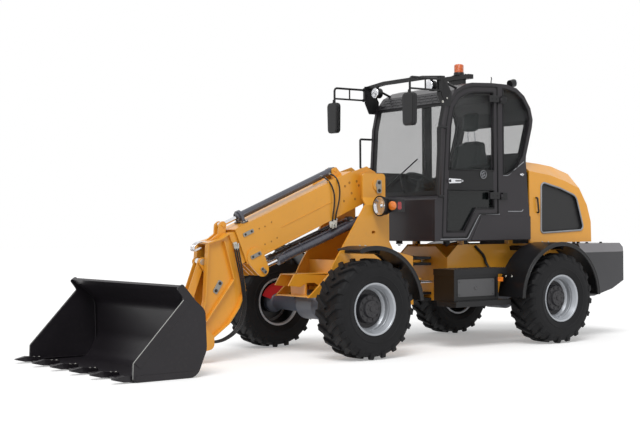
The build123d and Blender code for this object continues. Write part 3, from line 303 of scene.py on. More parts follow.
def prism(points, place, depth):
    """Polygon points (u, v) mapped by place(u, v, w), from w = 0 to w = depth."""
    low, high = ([bm.verts.new(place(p[0], p[1], w)) for p in points] for w in (0.0, depth))
    bm.faces.new(low)
    bm.faces.new(list(reversed(high)))
    for i in range(len(points)):
        j = (i + 1) % len(points)
        bm.faces.new((low[i], high[i], high[j], low[j]))


def plate(points, radius, place, depth):
    prism(rounded(points, radius), place, depth)


def side_at(y, hand=1):
    """Mapping of a side-view outline (x, z) that grows outwards from y."""
    return lambda u, v, w: (u, hand * (y + w), v)


def front_at(x, way=1):
    """Mapping of a front-view outline (y, z) that grows forwards from x, or backwards where way is -1."""
    return lambda u, v, w: (x + way * w, u, v)


def lathe(centre, axis, rows, steps=24, slot=0):
    """Surface of revolution: rows of (along, radius) about an axis through a centre."""
    axis, centre = Vector(axis).normalized(), Vector(centre)
    side = axis.orthogonal().normalized()
    up = axis.cross(side)
    rings = []
    for k in range(steps):
        a = math.tau * k / steps
        ray = side * math.cos(a) + up * math.sin(a)
        rings.append([bm.verts.new(centre + axis * h + ray * r) for h, r in rows])
    for one, two in zip(rings, rings[1:] + rings[:1]):
        for i in range(len(rows) - 1):
            if rows[i][1] > 0 or rows[i + 1][1] > 0:
                bm.faces.new((one[i], one[i + 1], two[i + 1], two[i])).material_index = slot
    bmesh.ops.remove_doubles(bm, verts=[v for ring in rings for v in ring], dist=0.0005)


def bolt(centre, axis, size=10.0, slot=0):
    """Hexagon head on a washer; size is half the width of the head."""
    washer = [(0, 1.55), (0.28, 1.5), (0.3, 0.9)]
    head = [(0.25, 1.1), (0.85, 1.12), (1.05, 0.92), (1.05, 0)]
    for rows, steps in ((washer, 14), (head, 6)):
        lathe(centre, axis, [(h * size, r * size) for h, r in rows], steps, slot)


def bolts(name, rows, look, body, size):
    for centre, axis in rows:
        bolt(centre, axis, size)
    build(name, look, body)


def tube(name, kind, runs, radius, closed=False):
    """Round tube along lines of points; kind is the type of its splines."""
    curve = bpy.data.curves.new(name, "CURVE")
    curve.dimensions = "3D"
    curve.bevel_depth = radius / 1000
    curve.bevel_resolution = 4
    curve.use_fill_caps = True
    for run in runs:
        spline = curve.splines.new(kind)
        spline.points.add(len(run) - 1)
        for point, co in zip(spline.points, run):
            point.co = (*at(*co), 1)
        spline.use_cyclic_u = closed
    return curve


def pipes(name, runs, radius, look, body, bend=30.0, closed=False):
    """Rigid round pipes through corner points, with bent corners."""
    lines = []
    for run in runs:
        run = [Vector(p) for p in run]
        line = []
        for i, p in enumerate(run):
            a, b = run[i - 1], run[(i + 1) % len(run)]
            if not closed and i in (0, len(run) - 1) or (a - p).angle(b - p) > math.radians(176):
                line.append(p)
            else:
                line += corner(a, p, b, min(bend, (a - p).length * 0.45, (b - p).length * 0.45), 5)
        lines.append(line)
    curve = tube(name, "POLY", lines, radius, closed)
    for spline in curve.splines:
        spline.use_smooth = True
    curve.materials.append(look)
    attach(placed(name, curve), body)


def hose(name, points, radius, body):
    """Hose held at both ends: a NURBS line with given control points."""
    curve = tube(name, "NURBS", [points], radius)
    curve.resolution_u = 10
    curve.splines[0].order_u = 3
    curve.splines[0].use_endpoint_u = True
    curve.materials.append(HOSE)
    obj = placed(name, curve)
    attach(obj, body)
    line = curve.copy()
    line.bevel_depth = 0
    probe = placed("probe", line)
    bpy.context.view_layer.update()
    bare = probe.to_mesh()
    probe.to_mesh_clear()
    bpy.data.objects.remove(probe)
    bpy.data.curves.remove(line)


def face_loops(node, y):
    """Outlines, in millimetres about the articulation axis, of a CAD node's flat faces in the plane at y."""
    mesh, place = nodes[node].data, nodes[node].matrix_world
    spots = [place @ v.co for v in mesh.vertices]
    count, near = {}, {}
    for p in mesh.polygons:
        if all(abs(spots[i].y - y / 1000) < 0.0006 for i in p.vertices):
            ring = [tuple(round(c, 4) for c in spots[i]) for i in p.vertices]
            for a, b in zip(ring, ring[1:] + ring[:1]):
                edge = frozenset((a, b))
                count[edge] = count.get(edge, 0) + 1
    for edge, n in count.items():
        if n == 1 and len(edge) == 2:
            a, b = edge
            near.setdefault(a, []).append(b)
            near.setdefault(b, []).append(a)
    loops = []
    while near:
        start = min(near)
        loop, here = [start], start
        while near.get(here):
            there = near[here].pop()
            near[there].remove(here)
            here = there
            if here == start:
                break
            loop.append(here)
        near = {point: others for point, others in near.items() if others}
        if len(loop) > 2:
            loops.append([back(p) for p in loop])
    return sorted(loops, key=lambda l: -max((a - l[0]).length for a in l))


def two_tone(node, mat, test):
    """Second material on the CAD faces whose centre and normal pass a test, in millimetres."""
    mesh, place = nodes[node].data, nodes[node].matrix_world
    mesh.materials.append(mat)
    for p in mesh.polygons:
        if test(back(place @ p.center), place.to_3x3() @ p.normal):
            p.material_index = len(mesh.materials) - 1


# ------ wheels
def tyre(name, x, side, body):
    """Tyre carcass with moulded ribs, and two rows of curved, chamfered chevron lugs."""
    half = [(-157, 254), (-166, 262), (-172, 278), (-184, 296), (-195, 322), (-200, 338), (-202, 346),
            (-206, 350), (-206, 357), (-203, 361), (-205, 385), (-205.5, 410), (-204, 435), (-200, 452),
            (-201, 457), (-199, 464), (-196, 466), (-188, 488), (-172, 501), (-140, 507), (-80, 509),
            (0, 510)]
    lathe((0, 0, 0), LEFT, half + [(-y, r) for y, r in reversed(half[:-1])], 96)
    # station columns: distance from the middle, lead, top radius, base radius, half width
    stations = [(5, 60, 536.5, 500, 19), (22, 50, 537.4, 500, 22), (50, 30, 537.4, 500, 23),
                (82, 6, 537, 500, 24), (115, -20, 536.6, 498, 25), (148, -42, 535.5, 494, 27),
                (172, -54, 532, 486, 29), (189, -58, 518, 474, 30), (200, -60, 494, 462, 29),
                (204, -60, 470, 455, 26)]
    last, lugs, sidewall = len(stations) - 1, 20, 204.5
    for i in range(lugs):
        for hand in HANDS:
            turn = math.radians((i + (0.5 if hand < 0 else 0)) * 360 / lugs)
            rings = []
            for k, (y, lead, top, base, wide) in enumerate(stations):
                ahead, behind = stations[min(k + 1, last)], stations[max(k - 1, 0)]
                path = Vector((ahead[1] - behind[1], ahead[0] - behind[0])).normalized()
                across = Vector((1.0, 0.0)) if k > 6 else Vector((path.y, -path.x))
                edge = top - (10 if k in (0, last) else 6)
                ring = []
                for off, r in ((-wide - 5, base), (-wide, edge), (-wide + 6, top), (wide - 6, top),
                               (wide, edge), (wide + 5, base)):
                    a = turn + (lead + across.x * off) / TYRE_R
                    out = hand * min(y + across.y * off, sidewall)
                    ring.append(bm.verts.new((r * math.sin(a), out, r * math.cos(a))))
                rings.append(ring)
            for one, two in zip(rings, rings[1:]):
                for j in range(5):
                    bm.faces.new((one[j], one[j + 1], two[j + 1], two[j]))
            bm.faces.new(rings[0])
            bm.faces.new(rings[-1])
    bmesh.ops.translate(bm, verts=bm.verts, vec=(x, side * TRACK_Y, TYRE_R))
    return build(name, RUBBER, body, angle=30)


for end, x in (("front", AXLE_X), ("rear", -AXLE_X)):
    for name, side in SIDES:
        body = f"wheel_{end}_{name}"
        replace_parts(tyre(f"lugged_tyre_{end}_{name}", x, side, body), f"tyre_{end}_{name}")
        out = side * TRACK_Y
        two_tone(f"rim_{end}_{name}", HUB, lambda c, n, x=x: math.hypot(c.x - x, c.z - TYRE_R) < 205)
        two_tone(f"rim_{end}_{name}", BLACK, lambda c, n: TRACK_Y - 162 < abs(c.y) < TRACK_Y + 12)
        for ring, count, face, size in ((121, 10, 96, 11), (62, 8, 124, 6)):
            for i in range(count):
                a = math.tau * i / count
                spot = (x + ring * math.cos(a), out + side * face, TYRE_R + ring * math.sin(a))
                bolt(spot, (0, side, 0), size)
        lathe((x, out + side * 124, TYRE_R), (0, side, 0), [(0, 30), (10, 28), (12, 22), (12, 0)], 24)
        lathe((x, out + side * 30, TYRE_R), (0, side, 0), [(0, 186), (4, 184), (4, 172), (0, 170)], 48)
        build(f"wheel_bolts_{end}_{name}", HUB, body)
        lip = [(168, 277), (176, 282), (184, 280), (186, 274), (183, 266), (170, 257), (150, 246),
               (146, 246), (150, 250), (168, 262), (168, 277)]
        lathe((x, out, TYRE_R), (0, side, 0), lip, 72)
        lathe((x, out, TYRE_R), (0, side, 0), [(96, 235.5), (100, 232), (108, 232), (112, 236.5)], 72)
        valve = [(0, 5), (34, 5), (34, 7), (46, 7), (47, 0)]
        lathe((x + 40, out + side * 150, TYRE_R - 226), (0.1, side, 0.35), valve, 10)
        build(f"rim_lip_{end}_{name}", RIM, body)


def sector(outer, inner):
    """Part of a ring round the front wheel's middle, in side view."""
    return [(AXLE_X + r * math.cos(math.radians(a)), TYRE_R + r * math.sin(math.radians(a)))
            for r, span in ((outer, range(20, 132, 6)), (inner, range(128, 14, -6))) for a in span]


for name, side in SIDES:
    prism(sector(222, 82), side_at(752, side), 6)
    prism(sector(222, 214), side_at(740, side), 12)
    build(f"brake_guard_{name}", RED, FRONT, 1.5)

# ------ boom, head and tower fittings
A = math.radians(-22.4)
ALONG = Vector((math.cos(A), 0, math.sin(A)))
OFF = Vector((-math.sin(A), 0, math.cos(A)))
NOSE = Vector((2579, 0, 1391))


def on_boom(along, off, y):
    """Point along the boom from its nose, and off its middle line."""
    p = NOSE + ALONG * along + OFF * off
    return Vector((p.x, y, p.z))


def keeper(centre, direction, y, hand, length, width):
    """Rounded keeper plate with two bolts, lying against a side face."""
    d, c = Vector(direction).normalized(), Vector(centre)
    n = Vector((-d.y, d.x))
    corners = [c + d * length / 2 * i + n * width / 2 * j for i, j in ((1, 1), (-1, 1), (-1, -1), (1, -1))]
    plate(corners, width * 0.3, side_at(y, hand), 8)
    for k in (-0.3, 0.3):
        p = c + d * length * k
        bolt((p.x, hand * (y + 8), p.y), (0, hand, 0), width * 0.2, 1)


def dimple(x, z, y, hand, radius):
    """Countersunk hole: a raised ring of paint round a middle painted darker as painted shade (slot 1)."""
    ring = [(0, radius), (1.6, radius - 2), (1.6, radius - 5), (0.6, radius - 7)]
    lathe((x, hand * y, z), (0, hand, 0), ring, 20)
    lathe((x, hand * y, z), (0, hand, 0), [(0.6, radius - 7), (0.6, 0)], 20, 1)


boom_slope = (ALONG.x, ALONG.z)
# keeper columns: body, centre x, z, direction, face y, length, width
KEEPERS = [(FRONT, (709, 1866), (0, 1), 272, 152, 70), (HEAD, (2768, 786), (73, -110), 100, 150, 62),
           (BOOM, (2411, 1354), boom_slope, 150, 142, 42), (BOOM, (2329, 1113), boom_slope, 170, 142, 42),
           (BOOM, (2238, 948), (70, 60), 184, 84, 40)]
for k, (body, centre, direction, y, length, width) in enumerate(KEEPERS):
    for hand in HANDS:
        keeper(centre, direction, y, hand, length, width)
    build(f"keeper_plates_{k}", [PLATE, HUB], body, 1.2)

# dimples on the boom's sides: yellow rings round middles painted darker as painted shade
for hand in HANDS:
    for x, z in ((2270, 1399), (2196, 1421), (2111, 1467), (2197, 1229), (2113, 1258), (2038, 1296)):
        dimple(x, z, 150, hand, 17)
    for x, z in ((1040, 1908), (935, 1926), (905, 1880), (1103, 1868), (1119, 1701), (961, 1725),
                 (1010, 1790)):
        dimple(x, z, 150, hand, 22)
build("boom_side_holes", [YELLOW, PLUG_SHADE], BOOM)


def strip(a, b, half, over, y, hand, depth):
    """Flat bar on a side face from a to b: half its width on each side, and run on at both ends."""
    a, b = Vector(a), Vector(b)
    d = (b - a).normalized()
    n = Vector((-d.y, d.x)) * half
    prism([a - n - d * over, b - n + d * over, b + n + d * over, a + n - d * over], side_at(y, hand), depth)


# welded strips and doublers of the boom
for hand in HANDS:
    strip((1980, 1412), (1287, 1692), 4.5, 0, 149.5, hand, 5)
    strip((2430, 1034), (1500, 1412), 6.5, 0, 149.5, hand, 5)
    doubler = [(890, 1752), (890, 2010), (775, 2052), (668, 2000), (640, 1900), (668, 1800), (740, 1775)]
    plate(doubler, 30, side_at(149.5, hand), 10)
    collar = [on_boom(a, o, 0) for a, o in ((2, 4), (2, -406), (-34, -406), (-34, 4))]
    prism([(p.x, p.z) for p in collar], side_at(149.5, hand), 7)
build("boom_welded_strips", YELLOW, BOOM, 2.0)

# ribs and pins of the head
for hand in HANDS:
    strip((2700, 1262), (2585, 860), 7, 4, 99.5, hand, 44)
    strip((2585, 860), (2930, 430), 7, 4, 99.5, hand, 44)
build("head_ribs", YELLOW, HEAD, 2.5)

for hand in HANDS:
    lathe((2932, hand * 72, 1055), (0, hand, 0), [(0, 34), (5, 33), (5, 26), (7, 25), (7, 0)], 28)
    lathe((2745, hand * 72, 800), (0, hand, 0), [(0, 44), (4, 43), (4, 30)], 28)
build("lever_pin_washers", STEEL, "tilt_lever")
for hand in HANDS:
    bolt((2970, hand * 120, 213), (0, hand, 0), 22)
build("hinge_bolts", STEEL, HEAD)

# extension cylinder: gland ring, weld beads, its pipe and its clamp
for along, r in ((-164, 50), (-220, 43.5), (-1490, 43.5)):
    lathe(on_boom(along, 76, 0), ALONG, [(0, r - 6), (1, r), (11, r), (12, r - 6)], 32)
build("extension_cylinder_rings", BARREL, BOOM)
line = [on_boom(-1430, 76, 36), on_boom(-1400, 84, 56), on_boom(-260, 84, 56), on_boom(-215, 78, 42)]
pipes("extension_pipe", [line], 6.5, BARREL, BOOM, 26)
rows = [(on_boom(along, 14, hand * 82), OFF) for along in (-211, -175) for hand in HANDS]
bolts("extension_clamp_bolts", rows, STEEL, BOOM, 8)

# lift cylinders: gland rings, pipes and clamps
foot, eye = Vector((861, 0, 1470)), Vector((2240, 0, 960))
lift = (eye - foot).normalized()
square = Vector((-lift.z, 0, lift.x))
runs = []
for hand in HANDS:
    for reach, r in ((1150, 55), (1100, 50), (90, 50)):
        p = foot + lift * reach
        lathe((p.x, hand * 95, p.z), lift, [(0, r - 5), (1, r), (14, r), (15, r - 5)], 32)
    for along in (420, 860):
        p = foot + lift * along
        lathe((p.x, hand * 95, p.z), lift, [(0, 46), (0, 50), (22, 50), (22, 46)], 32)
        q = p + square * 58 + lift * 11
        lathe((q.x, hand * 95 - 16, q.z), LEFT, [(0, 0), (0, 13), (32, 13), (32, 0)], 6)
    for y, up, far in ((14, 56, 1120), (-14, 56, 1060)):
        line = [foot + lift * a + square * b for a, b in ((150, 40), (170, up), (far - 20, up), (far, 44))]
        runs.append([(q.x, hand * 95 + y, q.z) for q in line])
build("lift_cylinder_rings", BARREL, "lift_barrel")
pipes("lift_cylinder_pipes", runs, 7, BARREL, "lift_barrel", 20)

# fittings and hoses of the extension cylinder
for x, z in ((1362, 1980), (1242, 2012)):
    lathe((x, 36, z), (0, 1, -0.25), [(0, 0), (0, 16), (14, 16), (14, 11), (34, 11), (36, 0)], 6)
plate([(1215, 1515), (1330, 1468), (1318, 1400), (1228, 1404)], 12, side_at(146), 8)
nut = [(0, 0), (0, 12), (14, 12), (14, 15), (26, 15), (26, 11), (52, 10), (52, 0)]
for x, z in ((1288, 1425), (1246, 1436)):
    lathe((x, 157, z - 34), (0, 0.1, 1), nut, 6)
    lathe((x, 154, z), LEFT, [(0, 0), (0, 15), (6, 15), (6, 0)], 12)
build("boom_hose_fittings", STEEL, BOOM)
hose("boom_hose_front", [(1362, 72, 1971), (1352, 108, 1962), (1322, 156, 1914), (1290, 178, 1830),
                         (1272, 182, 1740), (1282, 180, 1620), (1294, 170, 1535), (1288, 159, 1472)], 8.5,
     BOOM)
hose("boom_hose_rear", [(1242, 72, 2003), (1240, 112, 1998), (1216, 160, 1940), (1200, 181, 1850),
                        (1206, 184, 1740), (1232, 182, 1630), (1252, 170, 1545), (1246, 159, 1484)], 8.5,
     BOOM)

# fittings and hoses of the head
plate([(2532, 1172), (2588, 1180), (2606, 1250), (2560, 1262)], 6, side_at(127), 26)
nut = [(0, 0), (0, 9), (18, 9), (18, 11), (34, 11), (34, 8), (52, 7), (56, 0)]
for x in (2590, 2566, 2542):
    lathe((x, 150, 1236), LEFT, [(0, 10), (10, 10), (12, 0)], 12)
    lathe((x - 4, 151, 1190), UP, nut, 6)
plate([(2868, 190), (2912, 180), (2920, 250), (2880, 262)], 8, side_at(119), 70)
build("head_hose_fittings", STEEL, HEAD, 1.0)
# columns: x, y, z, then how far each next hose is moved in x and in y
ROUTE = [(2586, 150, 1196, -24, 0), (2582, 160, 1130, -25, 0), (2562, 163, 1040, -24, 0),
         (2532, 165, 900, -17, 6), (2508, 168, 770, -10, 12), (2493, 170, 640, -8, 16),
         (2500, 170, 520, -8, 17), (2545, 168, 400, -8, 18), (2622, 164, 305, -6, 18),
         (2735, 158, 243, -4, 18), (2820, 150, 222, -2, 18), (2872, 146, 222, 0, 18)]
for k in range(3):
    line = [(x + dx * k, y + dy * k, z - 6 * k if 150 < z < 420 else z) for x, y, z, dx, dy in ROUTE]
    hose(f"head_hose_{k}", line, 8.0, HEAD)
runs = [[(2840, y * 0.6, 1262), (2952, y, 1262), (3016, y, 1215), (3010, y, 1166), (2958, y * 0.9, 1178),
         (2892, y * 0.6, 1208)] for y in (-34, 0, 34)]
pipes("tilt_pipes", runs, 7, CHROME, HEAD, 42)

# ------ cab, door and hood trim
def seals(name, node, y, picks, radius, look, body, shift=0.0):
    """Rubber beads along the outlines of a node's openings in the plane at y."""
    loops = face_loops(node, y)
    runs = [[Vector((p.x, p.y + shift, p.z)) for p in loops[k]] for k in picks if k < len(loops)]
    pipes(name, runs, radius, look, body, 1.0, closed=True)


seals("door_seals", "door_glass", 622, (0, 1), 9, SEAL, "door", 35)
seals("door_edge", "door", 658, (0,), 6, SEAL, "door", -4)
seals("quarter_seal_left", "cab_side_left", 660, (1, 2), 9, SEAL, REAR, -1)
seals("side_seals_right", "cab_side_right", -660, (1, 2, 3), 9, SEAL, REAR, 1)
seals("hood_trim_left", "hood", 640, (1,), 11, TRIM, "hood", 3)
seals("hood_trim_right", "hood", -640, (1,), 11, TRIM, "hood", -3)

SILL = [(121, 1258), (-300, 1258), (-497, 1543), (-818, 1543)]
QUARTER = [(-884, 2006), (-963, 2006), (-1096, 2092), (-1230, 2176)]
for name, hand in SIDES:
    lines = [[(x, hand * 662, z) for x, z in line] for line in (SILL, QUARTER)]
    lines.append([(x, hand * 661, z) for x, z in ((-960, 1577), (-1196, 1577), (-1214, 1600))])
    pipes(f"cab_trim_{name}", lines, 5, TRIM, REAR, 26)
    plate([(-352, 1238), (-527, 1520), (-1337, 1520), (-1337, 1238)], 14, side_at(659.5, hand), 9)
    build(f"cab_skirt_{name}", CAB, REAR, 4.0)
    lathe((-1204, hand * 660, 2022), (0, hand, 0), [(0, 17), (5, 17), (7, 14), (7, 9), (24, 8), (25, 0)], 20)
    plate([(-1192, 2010), (-1150, 2016), (-1150, 2030), (-1192, 2034)], 5, side_at(672, hand), 6)
    build(f"panel_lock_{name}", CHROME, REAR, 1.0)

panes = [p for loop in face_loops("door_glass", 622) for p in loop]
top = [p.x for p in panes if 2055 < p.z < 2065]
base = [p.x for p in panes if 1825 < p.z < 1835]
band = [(min(base) + 7, 1838), (max(base) - 7, 1838), (max(top) - 7, 2052), (min(top) + 7, 2052)]
prism(band, side_at(657.5), 3)
build("door_band", BLACK, "door", 1.0)
# the lower panes of the door and of the right side take the near-black glass: painted shade of the cab's
# inside
two_tone("door_glass", SHADE_GLASS, lambda c, n: c.z < 1900)
two_tone("cab_glass", SHADE_GLASS, lambda c, n: c.z < 1900 and c.y < -600)

lathe((-554, 658, 2012), LEFT, [(0, 52), (8, 51), (12, 46), (12, 40), (6, 38), (6, 0)], 40)
build("door_knob", PLASTIC, "door")
lathe((-554, 658, 2012), LEFT, [(9, 50), (13, 49), (14, 46), (13, 43), (9, 42)], 40)
for k in range(4):
    a = math.tau * k / 4 + 0.4
    spot = (-554 + 21 * math.cos(a), 664, 2012 + 21 * math.sin(a))
    lathe(spot, LEFT, [(0, 10), (5, 10), (5, 7), (1, 6), (1, 0)], 14)
build("door_knob_marks", TRIM, "door")
plate([(-12, 1900), (-206, 1908), (-206, 1952), (-12, 1960)], 16, side_at(657), 6)
plate([(-6, 1914), (-70, 1914), (-70, 1948), (-6, 1948)], 12, side_at(690), 20)
plate([(-30, 1918), (-196, 1920), (-196, 1940), (-30, 1944)], 8, side_at(694), 12)
build("door_handle_shell", CHROME, "door", 2.0)
bolts("hinge_bolts_door", [((x, 686, z), LEFT) for z in (1763, 2910) for x in (-760, -690)], BLACK, "door",
      9)
for z in (1763, 2910):
    prism(box(-802, -640, z - 40, z + 40, 18), side_at(684), 7)
build("hinge_covers_door", PLASTIC, "door", 3.0)

# windscreen border, wiper and the slotted visor above it
PILLAR = [(112, 1762), (98, 1972), (56, 2586), (-5, 2836), (-126, 2983)]


def screen_x(z, out):
    for (xa, za), (xb, zb) in zip(PILLAR, PILLAR[1:]):
        if za <= z <= zb:
            return xa + (xb - xa) * (z - za) / (zb - za) + out
    return PILLAR[-1][0] + out


def on_screen(heights, near, far):
    """Side outline of a strip up the windscreen, between two distances from its face."""
    return [(screen_x(z, near), z) for z in heights] + [(screen_x(z, far), z) for z in reversed(heights)]


for y0 in (-620, 548):
    prism(on_screen((1768, 1972, 2586, 2836, 2980), -10, -13), side_at(y0), 72)
for heights in ((1768, 1818), (2800, 2836)):
    prism(on_screen(heights, -10, -13), side_at(-548), 1096)
build("screen_border", SEAL, REAR)
ROWS = (2846, 2884, 2922, 2958)
for z in ROWS:
    prism(on_screen((z - 4, z + 4), 1, 5), side_at(-590), 1180)
for row, heights in enumerate(zip(ROWS, ROWS[1:])):
    for k in range(12):
        y = -590 + 107 * k + 53 * (row % 2)
        if abs(y) <= 592:
            prism(on_screen(heights, 1, 5), side_at(y - 4), 8)
build("visor_grid", VISOR, REAR)
blade = [(screen_x(z, 16), y, z) for y, z in ((-300, 1880), (-120, 1985), (60, 2090), (240, 2196))]
arm = [(screen_x(1800, 8), 40, 1800), (screen_x(1830, 34), 34, 1830), (screen_x(1985, 30), -40, 2000),
       (screen_x(2036, 18), -32, 2036)]
pipes("wiper", [blade, arm], 8, PLASTIC, REAR, 20)

# ------ roof gear, lamps and mirrors
rows = [((x, hand * 670, z), (0, hand, 0)) for hand in HANDS for x, z in ((81, 2836), (20, 2880))]
bolts("beam_bolts", rows, STEEL, REAR, 10)
for hand in HANDS:
    plate([(-40, 2950), (40, 2830), (96, 2905), (120, 3080), (60, 3088)], 16, side_at(668, hand), 6)
build("beam_gussets", BLACK, REAR, 2.0)
# lamp columns: x, y, z, direction x, radius
LAMPS = [(x, hand * y, z, way, r) for x, y, z, way, r in ((128, 495, 3034, 1, 62),
                                                          (-1150, 585, 3132, -1, 48)) for hand in HANDS]
for x, y, z, way, r in LAMPS:
    lathe((x, y, z), (way, 0, 0), [(0, r - 2), (10, r), (16, r - 4), (16, r - 12), (4, r * 0.45), (2, 0)],
          40)
build("work_lamp_reflectors", CHROME, REAR)
for x, y, z, way, r in LAMPS:
    lathe((x, y, z), (way, 0, 0), [(12, r - 8), (18, r * 0.6), (20, r * 0.3), (21, 0)], 40)
build("work_lamp_glasses", LAMP_GLASS, REAR)

for hand in HANDS:
    lathe((832, hand * 455, 1640), (1, 0, 0), [(0, 22), (10, 21), (17, 14), (19, 0)], 24)
for name, look, rows in (
        ("bowls", CHROME, [(22, 103), (25, 102), (24, 98), (12, 84), (4, 56), (2, 30), (1, 0)]),
        ("glasses", LAMP_GLASS, [(22, 101), (30, 74), (34, 42), (35, 0)]),
        ("rims", BLACK, [(-40, 103), (-6, 112), (12, 117), (25, 116), (28, 108), (20, 102)])):
    for hand in HANDS:
        lathe((830, hand * 455, 1640), (1, 0, 0), rows, 56)
    build(f"headlamp_{name}", look, FRONT)
for hand in HANDS:
    lathe((776, hand * 598, 1642), (1, 0.25 * hand, 0), [(0, 52), (16, 50), (26, 38), (30, 0)], 40)
build("turn_lenses", AMBER, FRONT)
for hand in HANDS:
    prism(box(676, 736, 1598, 1686, 22), side_at(622, hand), 14)
build("side_lenses", RED_LENS, FRONT, 5.0)

ribs = [(0, 57.5)]
for k in range(9):
    ribs += [(6 + 9.5 * k, 57.5), (8 + 9.5 * k, 59), (12 + 9.5 * k, 59), (13.5 + 9.5 * k, 57.5)]
lathe((-700, 100, 3275), UP, ribs + [(96, 54), (102, 44), (104, 0)], 64)
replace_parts(build("beacon_lens", BEACON, REAR, angle=60), "beacon")
lathe((-700, 100, 3239), UP, [(0, 70), (8, 70), (12, 64), (34, 63), (38, 60), (38, 0)], 48)
for x, y in ((-752, 20), (-752, 250), (-648, 20), (-648, 250)):
    bolt((x + (18 if x < -700 else -18), y, 3239), UP, 7)
build("beacon_foot", PLASTIC, REAR)
aerial = [(-703, 650, 3085), (-703, 655, 3128), (-712, 655, 3146), (-703, 655, 3168)]
pipes("roof_aerial", [aerial], 6, PLASTIC, REAR, 12)


def mirror_head(wide, high, radius, hand):
    """Front outline of a mirror's head, scaled about its middle."""
    shell = [(612, 2540), (796, 2540), (806, 2905), (604, 2905)]
    return rounded([(hand * (704 + (y - 704) * wide), 2722 + (z - 2722) * high) for y, z in shell], radius)


for name, hand in SIDES:
    prism(mirror_head(1 - 2 / 90, 1 - 2 / 180, 46, hand), front_at(582), 18)
    prism(mirror_head(1 + 2 / 90, 1 + 2 / 180, 46, hand), front_at(600), 18)
    prism(mirror_head(0.86, 0.93, 40, hand), front_at(618), 22)
    build(f"mirror_shell_{name}", PLASTIC, REAR, 7.0, segments=3)
    prism(mirror_head(0.9, 0.95, 40, hand), front_at(577), 3)
    prism(mirror_head(0.8, 0.87, 34, hand), front_at(575), 4)
    build(f"mirror_glass_{name}", MIRROR, REAR, 0.8)
    lathe((608, hand * 700, 2900), UP, [(0, 0), (0, 24), (8, 24), (14, 17), (40, 17), (44, 13)], 20)
    for z in (2959, 3087):
        lathe((150, hand * 700, z), (1, 0, 0), [(0, 20), (6, 20), (10, 15), (18, 15), (20, 13)], 20)
    build(f"mirror_clamps_{name}", BLACK, REAR)

# ------ steps, fenders and counterweight
def studs(name, x0, x1, y0, y1, z, pitch, hand):
    """Tread plate: rows of small raised buttons."""
    row, x = 0, x0
    while x <= x1:
        y = y0 + pitch / 2 * (row % 2)
        while y <= y1:
            lathe((x, hand * y, z), UP, [(0, 7.0), (4, 5.5), (4, 3.0), (2, 0)], 10)
            y += pitch
        x += pitch * 0.87
        row += 1
    build(name, BLACK, REAR)


for name, hand in SIDES:
    studs(f"upper_tread_{name}", -715, 75, 520, 845, 914.5, 46, hand)
    studs(f"lower_tread_{name}", -735, 88, 868, 890, 544.5, 40, hand)
    for x in range(-720, 90, 36):
        prism([(x - 10, 545), (x + 10, 545), (x + 5, 556), (x - 5, 556)], side_at(893, hand), 7)
        prism([(x - 10, 915), (x + 10, 915), (x + 5, 925), (x - 5, 925)], side_at(853, hand), 7)
    build(f"step_edge_teeth_{name}", BLACK, REAR)
    prism(box(-548, 28, 598, 798, 20), side_at(837.5, hand), 5)
    for x, z in ((-520, 625), (0, 625), (-520, 770), (0, 770)):
        bolt((x, hand * 842, z), (0, hand, 0), 8)
    lathe((-250, hand * 842, 700), (0, hand, 0), [(0, 26), (6, 25), (8, 18), (4, 14), (4, 0)], 28)
    build(f"battery_box_door_{name}", BOX_GREY, REAR, 2.0)
    plate([(-596, 758), (-676, 756), (-676, 806), (-596, 809)], 6, side_at(850, hand), 9)
    build(f"step_reflector_{name}", AMBER, REAR, 2.0)
    filler = [(-600, 470, 1165), (-640, 474, 1130), (-738, 474, 1050), (-768, 478, 960), (-768, 520, 912)]
    pipes(f"filler_pipe_{name}", [[(x, hand * y, z) for x, y, z in filler]], 16, HOSE, REAR, 60)
    mount = [(0, 0), (0, 46), (6, 46), (10, 38), (26, 42), (40, 38), (44, 46), (46, 0)]
    for x in (-177, -460):
        lathe((x, hand * 430, 1190), UP, mount, 28)
        bolt((x, hand * 430, 1185), (0, 0, -1), 15)
    build(f"cab_mounts_{name}", BLACK, REAR)

for end, x, body, start, stop in (("front", AXLE_X, FRONT, 76, 172), ("rear", -AXLE_X, REAR, 6, 176)):
    for name, hand in SIDES:
        turns = [math.radians(start - 4 + (stop - start + 6) * k / 24) for k in range(25)]
        beads = [[(x + r * math.cos(a), hand * y, TYRE_R + r * math.sin(a)) for a in turns]
                 for r, y in ((664, 1090), (630, 1091))]
        pipes(f"{end}_fender_bead_{name}", beads, 8.5, PLASTIC, body, 1.0)
        rows = []
        for a in (start + 18, (start + stop) / 2, stop - 18):
            ray = Vector((math.cos(math.radians(a)), 0, math.sin(math.radians(a))))
            for y in (760, 860):
                rows.append(((x + ray.x * 668, hand * y, TYRE_R + ray.z * 668), tuple(ray)))
        bolts(f"{end}_fender_bolts_{name}", rows, STEEL, body, 9)

# faces of the counterweight that look upwards get the lighter grey: painted light from above
two_tone("counterweight", WEIGHT_TOP_LIGHT, lambda c, n: n.z > 0.35)
for name, look, bevel, plates in (
        ("frames", BLACK, 2.0, [(560, 700, 935, 1035, 16, -2933, 10), (385, 520, 740, 770, 8, -2933, 6)]),
        ("lenses", RED_LENS, 4.0, [(570, 690, 945, 1025, 12, -2942, 12)])):
    for hand in HANDS:
        for y0, y1, z0, z1, r, x, depth in plates:
            prism(box(hand * y0, hand * y1, z0, z1, r), front_at(x, -1), depth)
    build(f"tail_lamp_{name}", look, REAR, bevel)
rows = [((-2300 - 260 * k, hand * 700, 1175), UP) for k in range(2) for hand in HANDS]
bolts("counterweight_bolts", rows, BLACK, REAR, 17)
bolts("hitch_pin_head", [((-2880, 0, 826), UP)], STEEL, REAR, 17)

